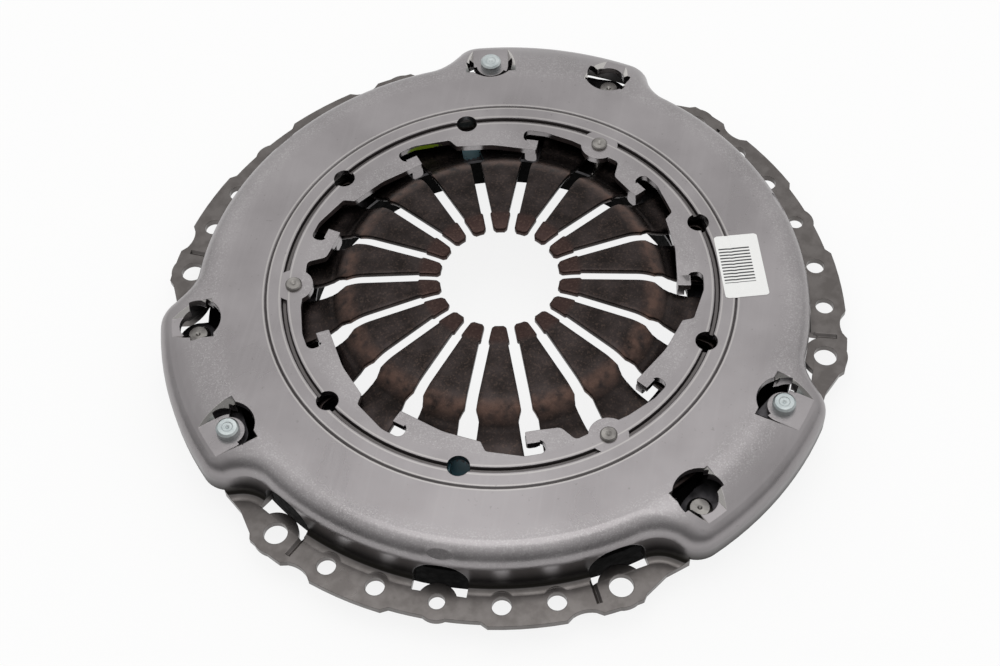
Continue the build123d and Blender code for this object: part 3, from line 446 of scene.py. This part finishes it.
# Paper label with a clear varnish, printed with plain stripes: smooth, with a soft shine. Sizes are in
# millimetres. The fibres are drawn coarser than they are, so that they show.
label = {
    "centre": (91.2, 23.0), "size": (30.0, 17.0), "turn": 105.6, "corner": 1.2, "height": 23.02, "film": 0.12,
    "groove": 91.3, "grooveHalf": 1.6, "dip": 0.2, "steps": (60, 34), "crease": 40,
    "paper": "#f3f3f1", "fibre": "#ececea", "fibres": (0.5, 0.2, 0.8), "rough": (0.40, 0.48),
    "ink": "#2b2b2d", "stripe": 1.5, "stripeEdge": (0.1, 0.3), "relief": 0.003, "edge": 0.05,
    "printed": (8.6, 6.0), "printMiddle": (0.6, 1.6), "printEdge": 0.05,
}


def makeLabelPaper():
    material, tree, surface, place = newMaterial("varnishedPaper")
    centre, turn = (*label["centre"], label["height"]), radians(-label["turn"])
    moved = addNode(tree, "ShaderNodeVectorMath", minus, {0: place, 1: centre})
    turned = addNode(tree, "ShaderNodeVectorRotate", aboutZ, {0: moved, "Angle": turn})
    turned = addNode(tree, "ShaderNodeVectorMath", minus, {0: turned, 1: (*label["printMiddle"], 0)})
    along = addNode(tree, "ShaderNodeSeparateXYZ", inputs={0: turned}, out="X")
    across = addNode(tree, "ShaderNodeSeparateXYZ", inputs={0: turned}, out="Y")
    wave = addNode(tree, "ShaderNodeMath", times, {0: along, 1: 2 * pi / label["stripe"]})
    wave = addNode(tree, "ShaderNodeMath", {"operation": "SINE"}, {0: wave})
    low, high = label["stripeEdge"]
    ink = addNode(tree, "ShaderNodeMapRange", inputs={"Value": wave, "From Min": low, "From Max": high})
    for value, half in ((along, label["printed"][0]), (across, label["printed"][1])):
        inside = zone(tree, value, -half, half, label["printEdge"])
        ink = addNode(tree, "ShaderNodeMath", times, {0: ink, 1: inside})
    fibre = patches(tree, place, label["fibres"])
    paper = addNode(tree, "ShaderNodeMix", mixed, {0: fibre, 6: label["fibre"], 7: label["paper"]}, out=2)
    colour = addNode(tree, "ShaderNodeMix", mixed, {0: ink, 6: paper, 7: label["ink"]}, out=2)
    low, high = label["rough"]
    rough = addNode(tree, "ShaderNodeMapRange", inputs={"Value": fibre, "To Min": low, "To Max": high})
    for name, value in (("Base Color", colour), ("Roughness", rough)):
        tree.links.new(value, surface.inputs[name])
    relieve(tree, surface, fibre, label["relief"], label["edge"])
    return material


materials = {"cover_steel": makeCoverSteel(), "spring_steel": makeSpringSteel(), "iron": makeCastIron()}
for slot, look in fineSteelLooks.items():
    materials[slot] = makeFineSteel(look)
print("materials made:", len(materials))


# CAD nodes keep their shape and take the finish of their slot
for part in frame["record"]["subparts"]:
    node = frame["nodes"][part["node"]]
    node.data.materials.clear()
    node.data.materials.append(materials[part["material_slot"]])
print("nodes finished:", len(frame["nodes"]))


# Meshes and node trees

def newPiece(name, data):
    piece = bpy.data.objects.new(name, data)
    bpy.context.collection.objects.link(piece)
    return piece


def meshFrom(shape, name):
    data = bpy.data.meshes.new(name)
    shape.to_mesh(data)
    shape.free()
    return data


def plainMesh(name, source):
    # the source with its modifiers applied, as a new object in its place
    bpy.context.view_layer.update()
    data = bpy.data.meshes.new_from_object(source.evaluated_get(bpy.context.evaluated_depsgraph_get()))
    bpy.data.objects.remove(source)
    return newPiece(name, data)


def smooth(piece, crease):
    # faces outwards, shaded smooth except over edges sharper than the crease, in degrees
    data = piece.data
    shape = bmesh.new()
    shape.from_mesh(data)
    bmesh.ops.recalc_face_normals(shape, faces=shape.faces)
    shape.to_mesh(data)
    shape.free()
    data.shade_smooth()
    data.set_sharp_from_angle(angle=radians(crease))


def setInput(modifier, name, value):
    for item in modifier.node_group.interface.items_tree:
        if item.item_type == "SOCKET" and item.in_out == "INPUT" and item.name == name:
            modifier[item.identifier] = value


def newTree(name, inputs):
    # gives a node tree with named inputs, and the sockets that read them
    tree = bpy.data.node_groups.new(name, "GeometryNodeTree")
    tree.interface.new_socket("Geometry", in_out="INPUT", socket_type="NodeSocketGeometry")
    for title, kind in inputs:
        tree.interface.new_socket(title, in_out="INPUT", socket_type=kind)
    tree.interface.new_socket("Geometry", in_out="OUTPUT", socket_type="NodeSocketGeometry")
    return tree, tree.nodes.new("NodeGroupInput").outputs


def bakeNodes(name, data, tree, values):
    # the mesh put through a node tree, as a plain mesh
    source = newPiece(name + "Source", data)
    modifier = source.modifiers.new("nodes", "NODES")
    modifier.node_group = tree
    for title, value in values.items():
        setInput(modifier, title, value)
    return plainMesh(name, source)


# Diaphragm spring: one finger in mesh code, set round the axis by nodes
spring = {
    "fingers": 18,
    "thickness": 2.6,
    # radius and height in mm, and the half length of each bend
    "knots": [(23.0, 27.0), (28.0, 27.9), (59.5, 26.7), (68.0, 18.4), (107.5, 12.7)],
    "bends": [4.0, 6.5, 5.0],
    "tipSlot": 1.45,
    "tipFlare": (0.9, 1.4),  # how much wider each side of the slot is at the tip, and over what length
    "fingerSlot": 2.1,
    "step": 31.0,
    "stepRun": 0.7,
    "keyhole": 3.7,
    "keyholeStart": 62.0,
    "keyholeEnd": 82.4,
    "neck": (-2.2, -0.6, 1.2),  # where the slot widens into the keyhole, from the keyhole's start
    "neckShare": 0.8,  # width in the middle of the neck, as a share of the keyhole's
    "edge": 0.45,
    "columns": 8,
    # rows of points along a finger: first place, gap and count, and those near the tip, the step and the rim
    "rowRuns": ((25.0, 0.9, 6), (33.0, 1.5, 15), (55.0, 0.8, 24), (75.0, 2.0, 4), (89.0, 4.0, 5)),
    "tipRows": (0.0, 0.12, 0.5, 1.0, 1.5),
    "stepRows": (-0.4, 0.0, 0.2, 0.4, 0.6, 0.8, 1.2),
    "rimRows": (-0.5, -0.12, 0.0),
    "keyholeRows": 10,  # round the keyhole's end
    "pastKeyhole": 1.0,
    "crease": 40,
    "pivotHeight": 14.2,
    "keep": 0.45,
}


def springHeight(r):
    # height of the spring's upper face: straight runs joined by round bends
    knots = spring["knots"]
    slopes = [(b[1] - a[1]) / (b[0] - a[0]) for a, b in zip(knots, knots[1:])]
    for i, run in enumerate(spring["bends"]):
        place, height = knots[i + 1]
        if abs(r - place) < run:
            start = height - slopes[i] * run
            along = r - (place - run)
            return start + slopes[i] * along + (slopes[i + 1] - slopes[i]) * along ** 2 / (4 * run)
    for (a, b), slope in zip(zip(knots, knots[1:]), slopes):
        if r <= b[0]:
            return a[1] + slope * (r - a[0])
    return knots[-1][1]


def slotHalf(along):
    # half width of the slot beside the finger, at a distance along the slot
    tip = spring["knots"][0][0]
    flare, flareRun = spring["tipFlare"]
    narrow, middle, wide = [spring["keyholeStart"] + a for a in spring["neck"]]
    stops = [
        (tip, spring["tipSlot"] + flare),
        (tip + flareRun, spring["tipSlot"]),
        (spring["step"], spring["tipSlot"]),
        (spring["step"] + spring["stepRun"], spring["fingerSlot"]),
        (narrow, spring["fingerSlot"]),
        (middle, spring["neckShare"] * spring["keyhole"]),
        (wide, spring["keyhole"]),
        (spring["keyholeEnd"], spring["keyhole"]),
    ]
    if along > spring["keyholeEnd"]:
        return sqrt(max(spring["keyhole"] ** 2 - (along - spring["keyholeEnd"]) ** 2, 0))
    for (a, low), (b, high) in zip(stops, stops[1:]):
        if along <= b:
            break
    share = (along - a) / (b - a)
    share = share * share * (3 - 2 * share)
    return low + (high - low) * share


def fingerRows():
    # places along the slot, close together where its width or the profile changes
    tip, rim = spring["knots"][0][0], spring["knots"][-1][0]
    end, keyhole, arc = spring["keyholeEnd"], spring["keyhole"], spring["keyholeRows"]
    rows = [first + i * gap for first, gap, count in spring["rowRuns"] for i in range(count)]
    rows += [tip + a for a in spring["tipRows"]] + [spring["step"] + a for a in spring["stepRows"]]
    rows += [end + keyhole * sin(i * pi / (2 * arc)) for i in range(arc + 1)]
    rows += [end + keyhole + spring["pastKeyhole"]] + [rim + a for a in spring["rimRows"]]
    return sorted(rows)


def fingerSection(along):
    # radius, and the section's outline as turns and heights, with its edges rounded
    half = pi / spring["fingers"]
    tip, rim = spring["knots"][0][0], spring["knots"][-1][0]
    edge, columns = spring["edge"], spring["columns"]
    gap = slotHalf(along)
    edgeX = along * cos(half) + gap * sin(half)
    edgeY = along * sin(half) - gap * cos(half)
    r = sqrt(edgeX ** 2 + edgeY ** 2)
    turn = half if gap == 0 else min(half, atan2(edgeY, edgeX))
    side = edge * min(1.0, gap / spring["tipSlot"])
    endDrop = 0.0
    for end in (tip, rim):
        if abs(along - end) < edge:
            endDrop = max(endDrop, edge * (1 - abs(along - end) / edge) ** 2)
    rounding = [(0.0, 1.0), (0.3, 0.3), (1.0, 0.0)]  # way in and drop, as shares of the edge
    top = [(turn - inset * side / r, drop * side) for inset, drop in rounding]
    inner = turn - side / r
    spread = [inner - 2 * inner * i / columns for i in range(1, columns)]
    angles = top + [(a, 0.0) for a in spread] + [(-a, d) for a, d in reversed(top)]
    z = springHeight(r)
    loop = [(a, z - max(d, endDrop)) for a, d in angles]
    loop += [(a, z - spring["thickness"] + max(d, endDrop)) for a, d in reversed(angles)]
    return r, loop


def makeFinger():
    rows = fingerRows()
    mesh = bmesh.new()
    grid = []
    for along in rows:
        r, loop = fingerSection(along)
        grid.append([mesh.verts.new((r * cos(a) * mm, r * sin(a) * mm, h * mm)) for a, h in loop])
    count = len(grid[0])
    closed = [slotHalf(along) == 0 for along in rows]
    for i in range(len(rows) - 1):
        for j in range(count):
            k = (j + 1) % count
            wall = j in (count // 2 - 1, count - 1)
            if wall and closed[i] and closed[i + 1]:
                continue  # neighbours meet here
            mesh.faces.new((grid[i][j], grid[i][k], grid[i + 1][k], grid[i + 1][j]))
    for row, back in ((grid[0], False), (grid[-1], True)):
        top, under = row[:count // 2], row[count // 2:][::-1]
        for j in range(count // 2 - 1):
            face = (top[j], top[j + 1], under[j + 1], under[j])
            mesh.faces.new(face[::-1] if back else face)
    bmesh.ops.remove_doubles(mesh, verts=mesh.verts, dist=tiny)
    bmesh.ops.dissolve_degenerate(mesh, edges=mesh.edges, dist=tiny)
    return meshFrom(mesh, "finger")


def ringTree():
    inputs = [("Copies", "NodeSocketInt"), ("Finish", "NodeSocketMaterial")]
    tree, given = newTree("ringOfCopies", inputs)
    points = addNode(tree, "GeometryNodePoints", inputs={"Count": given["Copies"]})
    step = addNode(tree, "ShaderNodeMath", {"operation": "DIVIDE"}, {0: 2 * pi, 1: given["Copies"]})
    turn = addNode(tree, "ShaderNodeMath", times, {0: addNode(tree, "GeometryNodeInputIndex"), 1: step})
    spin = addNode(tree, "ShaderNodeCombineXYZ", inputs={"Z": turn})
    copies = {"Points": points, "Instance": given["Geometry"], "Rotation": spin}
    copies = addNode(tree, "GeometryNodeInstanceOnPoints", inputs=copies)
    real = addNode(tree, "GeometryNodeRealizeInstances", inputs={0: copies})
    merged = addNode(tree, "GeometryNodeMergeByDistance", inputs={0: real, "Distance": weld})
    finish = addNode(tree, "GeometryNodeSetMaterial", inputs={0: merged, "Material": given["Finish"]})
    addNode(tree, "NodeGroupOutput", inputs={0: finish})
    return tree


diaphragm = bakeNodes(
    "diaphragm", makeFinger(), ringTree(),
    {"Copies": spring["fingers"], "Finish": materials["spring_steel"]},
)
smooth(diaphragm, spring["crease"])
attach(diaphragm, "cover")
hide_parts("diaphragm_spring")
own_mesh(diaphragm)
print("diaphragm faces:", len(diaphragm.data.polygons))


# Leaf springs: the CAD strips, cut finely along their length between cover and plate
leaf = {"bays": (330, 90, 210), "circle": 119.0, "pad": 12.4, "flat": 5.5, "cuts": 14, "crease": 30}


def onCircle(radius, angle, height=0.0):
    return Vector((radius * cos(radians(angle)) * mm, radius * sin(radians(angle)) * mm, height * mm))


def copyNode(name, node, cuts=0, start=None, end=None):
    # merged copy of a CAD node's mesh, cut across between two points
    shape = bmesh.new()
    shape.from_mesh(frame["nodes"][node].data)
    bmesh.ops.remove_doubles(shape, verts=shape.verts, dist=weld)
    for i in range(cuts + 1 if cuts else 0):
        parts = shape.verts[:] + shape.edges[:] + shape.faces[:]
        spot = start.lerp(end, i / cuts)
        bmesh.ops.bisect_plane(shape, geom=parts, dist=tiny, plane_co=spot, plane_no=end - start)
    return newPiece(name, meshFrom(shape, name))


def makeLeaves():
    for number, bay in enumerate(leaf["bays"], start=1):
        padEnd = onCircle(leaf["circle"], bay + leaf["pad"])
        lugEnd = onCircle(leaf["circle"], bay - leaf["pad"])
        run = (lugEnd - padEnd).normalized() * leaf["flat"] * mm
        for layer in ("upper", "lower"):
            node = f"leaf_spring_{number}_{layer}"
            piece = copyNode(f"leaf{number}{layer.title()}", node, leaf["cuts"], padEnd + run, lugEnd - run)
            smooth(piece, leaf["crease"])
            piece.data.materials.append(materials["blued_steel"])
            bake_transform(piece)
            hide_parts(node)


makeLeaves()
print("leaf springs made")


# Sensor spring: the CAD ring with its inner edge where the view hole shows it
sensor = {"cadEdge": 78.0, "inner": 73.4, "cone": 0.073, "crease": 30}


def makeSensor():
    piece = copyNode("sensorSpring", "sensor_spring")
    for vertex in piece.data.vertices:
        radius = vertex.co.xy.length / mm
        if radius < sensor["cadEdge"]:
            vertex.co.xy *= sensor["inner"] / radius
            vertex.co.z -= (radius - sensor["inner"]) * sensor["cone"] * mm
    smooth(piece, sensor["crease"])
    piece.data.materials.append(materials["blued_steel"])
    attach(piece, "cover")
    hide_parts("sensor_spring")


makeSensor()
print("sensor spring made")


# Cover: the CAD shell, with three more view holes on the inner bead and the crescents at their full width
shell = {
    "viewHoles": (350, 110, 230), "viewCircle": 83.3, "viewRadius": 4.25, "viewSteps": 36,
    "padCircle": 119.0, "tongues": (342.4, 102.4, 222.4), "tools": (317.6, 77.6, 197.6),
    # crescents: outer radius, inner radius at tongues and tool holes, and the turns where they end
    "crescent": 10.5, "tongueInner": 6.1, "toolInner": 0.5, "tongueSweep": (-60, 84), "toolSweep": (-60, 55),
    "sweepSteps": 24, "cutFrom": 15.2, "cutTo": 26.0, "crease": 32,
}


def cutterOutlines():
    # plan outlines of the view holes and of the crescents round tongues and tool holes
    outlines = []
    for angle in shell["viewHoles"]:
        middle = onCircle(shell["viewCircle"], angle)
        turns = [i * 360 / shell["viewSteps"] for i in range(shell["viewSteps"])]
        outlines.append([middle + onCircle(shell["viewRadius"], t) for t in turns])
    tongues = (shell["tongues"], shell["tongueSweep"], shell["tongueInner"])
    tools = (shell["tools"], shell["toolSweep"], shell["toolInner"])
    steps = shell["sweepSteps"]
    for angles, (first, last), inner in (tongues, tools):
        for angle in angles:
            middle = onCircle(shell["padCircle"], angle)
            turns = [angle + 180 - first + (first - last) * i / steps for i in range(steps + 1)]
            far = [middle + onCircle(shell["crescent"], t) for t in turns]
            near = [middle + onCircle(inner, t) for t in reversed(turns)]
            outlines.append(far + near)
    return outlines


def makeCutter():
    # upright walls on each outline, closed below and above the sheet
    shape = bmesh.new()
    for outline in cutterOutlines():
        rings = []
        for height in (shell["cutFrom"], shell["cutTo"]):
            rings.append([shape.verts.new((p.x, p.y, height * mm)) for p in outline])
        low, high = rings
        shape.faces.new(low)
        shape.faces.new(high)
        for i in range(len(outline)):
            k = (i + 1) % len(outline)
            shape.faces.new((low[i], low[k], high[k], high[i]))
    bmesh.ops.recalc_face_normals(shape, faces=shape.faces)
    return newPiece("cutter", meshFrom(shape, "cutter"))


def spotOf(data, corner):
    # a corner's place to a hundredth of a millimetre
    return tuple(round(c / mm, 2) for c in data.vertices[data.loops[corner].vertex_index].co)


def borrowNormals(piece, node):
    # corners that the CAD node has too take its exact normals, so that no cut shows in the shading
    source, data = frame["nodes"][node].data, piece.data
    known = {}
    for face in source.polygons:
        for corner in face.loop_indices:
            pair = (face.normal.copy(), source.corner_normals[corner].vector.copy())
            known.setdefault(spotOf(source, corner), []).append(pair)
    normals = [Vector(corner.vector) for corner in data.corner_normals]
    level = 0.999
    for face in data.polygons:
        for corner in face.loop_indices:
            spot = spotOf(data, corner)
            if spot in known:
                normals[corner] = max(known[spot], key=lambda pair: pair[0].dot(face.normal))[1]
            elif abs(face.normal.z) > level:
                normals[corner] = face.normal.copy()
    data.normals_split_custom_set(normals)


def makeShell():
    cutter = makeCutter()
    blank = copyNode("coverBlank", "cover")
    cut = blank.modifiers.new("cut", "BOOLEAN")
    cut.operation = "DIFFERENCE"
    cut.solver = "EXACT"
    cut.object = cutter
    piece = plainMesh("coverShell", blank)
    bpy.data.objects.remove(cutter)
    smooth(piece, shell["crease"])
    facing = piece.modifiers.new("facing", "WEIGHTED_NORMAL")
    facing.keep_sharp = True
    piece = plainMesh("coverShell", piece)
    borrowNormals(piece, "cover")
    piece.data.materials.clear()
    piece.data.materials.append(materials["cover_steel"])
    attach(piece, "cover")
    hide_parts("cover")
    return piece


coverShell = makeShell()
print("cover cut:", len(coverShell.data.polygons), "faces")


# Adjuster springs: round wire, each between a stop of the cover's track and an arm of the ring
coil = {
    "turns": 4.0, "radius": 2.3, "wire": 0.5, "length": 19.0, "seat": 1.6, "circle": 101.6, "height": 16.65,
    "segments": (270, 30, 150), "stepsPerTurn": 28, "wireSteps": 12, "crease": 50,
}


def coilTree():
    # an open coil of round wire, along its own Z from 0 to its length
    inputs = [(name, "NodeSocketFloat") for name in ("Turns", "Radius", "Wire", "Length")]
    tree, given = newTree("openCoil", inputs + [("Finish", "NodeSocketMaterial")])
    line = {"Resolution": coil["stepsPerTurn"], "Rotations": given["Turns"], "Height": given["Length"]}
    line.update({"Start Radius": given["Radius"], "End Radius": given["Radius"]})
    line = addNode(tree, "GeometryNodeCurveSpiral", inputs=line)
    wire = {"Resolution": coil["wireSteps"], "Radius": given["Wire"]}
    wire = addNode(tree, "GeometryNodeCurvePrimitiveCircle", inputs=wire)
    wound = addNode(tree, "GeometryNodeCurveToMesh", inputs={0: line, 1: wire, "Fill Caps": True})
    real = addNode(tree, "GeometryNodeRealizeInstances", inputs={0: wound})
    finish = addNode(tree, "GeometryNodeSetMaterial", inputs={0: real, "Material": given["Finish"]})
    addNode(tree, "NodeGroupOutput", inputs={0: finish})
    return tree


def makeCoils():
    tree = coilTree()
    half = degrees(asin((coil["length"] / 2 + coil["seat"]) / coil["circle"]))
    for number, centre in enumerate(coil["segments"], start=1):
        values = {
            "Turns": coil["turns"], "Radius": coil["radius"] * mm, "Wire": coil["wire"] * mm,
            "Length": coil["length"] * mm, "Finish": materials["blued_steel"],
        }
        piece = bakeNodes(f"adjusterCoil{number}", bpy.data.meshes.new("none"), tree, values)
        middle = onCircle(coil["circle"] * cos(radians(half)), centre, coil["height"])
        along = Vector((-sin(radians(centre)), cos(radians(centre)), 0))
        turn = along.to_track_quat("Z", "Y").to_matrix().to_4x4()
        piece.data.transform(Matrix.Translation(middle - along * coil["length"] / 2 * mm) @ turn)
        smooth(piece, coil["crease"])
        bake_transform(piece)
        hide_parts(f"adjuster_spring_{number}")


makeCoils()
print("adjuster springs made")


def labelGrid(shape, film):
    # rows of points across the label, at a height over its underside, sunk where it spans the outer bead
    centre, turn = Vector(label["centre"]), radians(label["turn"])
    columns, rows = label["steps"]
    halfX, halfY, corner = label["size"][0] / 2, label["size"][1] / 2, label["corner"]
    grid = []
    for i in range(columns + 1):
        x = halfX * (2 * i / columns - 1)
        over = max(0.0, abs(x) - (halfX - corner))
        reach = halfY - corner + sqrt(max(corner ** 2 - over ** 2, 0))
        line = []
        for j in range(rows + 1):
            y = reach * (2 * j / rows - 1)
            spot = centre + Vector((x * cos(turn) - y * sin(turn), x * sin(turn) + y * cos(turn)))
            away = abs(spot.length - label["groove"]) / label["grooveHalf"]
            sink = label["dip"] * (1 + cos(pi * min(away, 1))) / 2
            line.append(shape.verts.new((spot.x * mm, spot.y * mm, (label["height"] + film - sink) * mm)))
        grid.append(line)
    return grid


def makeLabel():
    columns, rows = label["steps"]
    shape = bmesh.new()
    top, under = labelGrid(shape, label["film"]), labelGrid(shape, 0.0)
    for i in range(columns):
        for j in range(rows):
            shape.faces.new((top[i][j], top[i + 1][j], top[i + 1][j + 1], top[i][j + 1]))
            shape.faces.new((under[i][j], under[i][j + 1], under[i + 1][j + 1], under[i + 1][j]))
    rim = [(i, 0) for i in range(columns)] + [(columns, j) for j in range(rows)]
    rim += [(i, rows) for i in range(columns, 0, -1)] + [(0, j) for j in range(rows, 0, -1)]
    for (a, b), (c, d) in zip(rim, rim[1:] + rim[:1]):
        shape.faces.new((top[a][b], under[a][b], under[c][d], top[c][d]))
    piece = newPiece("label", meshFrom(shape, "label"))
    smooth(piece, label["crease"])
    piece.data.materials.append(makeLabelPaper())
    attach(piece, "cover")


makeLabel()
print("label made")


# Floor of pale paper, a hair below the friction face, white to the camera and in reflections
stage = {"floorSize": 40.0, "gap": 0.3, "floorTone": "#f6f6f5", "shadow": 0.14}


def makeStage():
    bottom = cadBox[0][2] - stage["gap"] * mm
    half = stage["floorSize"] / 2
    corners = [(-half, -half, bottom), (half, -half, bottom), (half, half, bottom), (-half, half, bottom)]
    data = bpy.data.meshes.new("floor")
    data.from_pydata(corners, [], [(0, 1, 2, 3)])
    floor = newPiece("floor", data)
    material = bpy.data.materials.new("paperFloor")
    material.use_nodes = True
    tree = material.node_tree
    tree.nodes.clear()
    paper = addNode(tree, "ShaderNodeBsdfDiffuse", inputs={"Color": stage["floorTone"]})
    white = addNode(tree, "ShaderNodeEmission", inputs={"Strength": 1.0})
    rays = tree.nodes.new("ShaderNodeLightPath").outputs
    seen = addNode(tree, "ShaderNodeMath", most, {0: rays["Is Camera Ray"], 1: rays["Is Glossy Ray"]})
    seen = addNode(tree, "ShaderNodeMath", most, {0: seen, 1: rays["Is Transmission Ray"]})
    seen = addNode(tree, "ShaderNodeMath", times, {0: seen, 1: 1 - stage["shadow"]})
    top = addNode(tree, "ShaderNodeMixShader", inputs={0: seen, 1: paper, 2: white})
    # clear from below, so that the object's underside can be looked at
    under = addNode(tree, "ShaderNodeNewGeometry", out="Backfacing")
    clear = addNode(tree, "ShaderNodeBsdfTransparent")
    surface = addNode(tree, "ShaderNodeMixShader", inputs={0: under, 1: top, 2: clear})
    addNode(tree, "ShaderNodeOutputMaterial", inputs={0: surface})
    data.materials.append(material)


# A room that is brightest up behind the object and dimmer behind the camera
room = {"brightWay": (0.0, 0.55, 0.835), "dim": 0.24, "bright": 1.0, "from": -0.3, "to": 0.82}


def makeWorld():
    world = bpy.data.worlds.new("studio")
    bpy.context.scene.world = world
    world.use_nodes = True
    tree = world.node_tree
    tree.nodes.clear()
    way = addNode(tree, "ShaderNodeTexCoord", out="Generated")
    facing = {0: way, 1: room["brightWay"]}
    facing = addNode(tree, "ShaderNodeVectorMath", {"operation": "DOT_PRODUCT"}, facing, out="Value")
    span = {"Value": facing, "From Min": room["from"], "From Max": room["to"]}
    span.update({"To Min": room["dim"], "To Max": room["bright"]})
    tone = addNode(tree, "ShaderNodeMapRange", {"interpolation_type": "SMOOTHSTEP"}, span)
    back = addNode(tree, "ShaderNodeBackground", inputs={"Color": "#ffffff", "Strength": tone})
    addNode(tree, "ShaderNodeOutputWorld", inputs={0: back})


# One soft lamp high above: place and size in metres, power in watts
lamp = {"place": (0.0, 0.14, 1.30), "size": 0.8, "power": 2.4}


def makeLamp():
    data = bpy.data.lights.new("top", "AREA")
    data.shape = "SQUARE"
    data.size = lamp["size"]
    data.energy = lamp["power"]
    item = newPiece("top", data)
    item.location = lamp["place"]
    item.rotation_euler = (-Vector(lamp["place"])).to_track_quat("-Z", "Y").to_euler()


# Camera: place in metres, turn in degrees, lens and sensor in millimetres
camera = {"place": (0.08887, -0.38827, 0.56323), "turn": (34.689, 1.788, 10.467), "lens": 62.21, "sensor": 36}


def makeCamera():
    data = bpy.data.cameras.new("camera")
    data.lens = camera["lens"]
    data.sensor_width = camera["sensor"]
    item = newPiece("camera", data)
    item.location = camera["place"]
    item.rotation_euler = [radians(a) for a in camera["turn"]]
    bpy.context.scene.camera = item


makeStage()
makeWorld()
makeLamp()
makeCamera()
bpy.context.scene.view_settings.view_transform = "Standard"
print("stage, lamp and camera set")

bpy.context.view_layer.update()
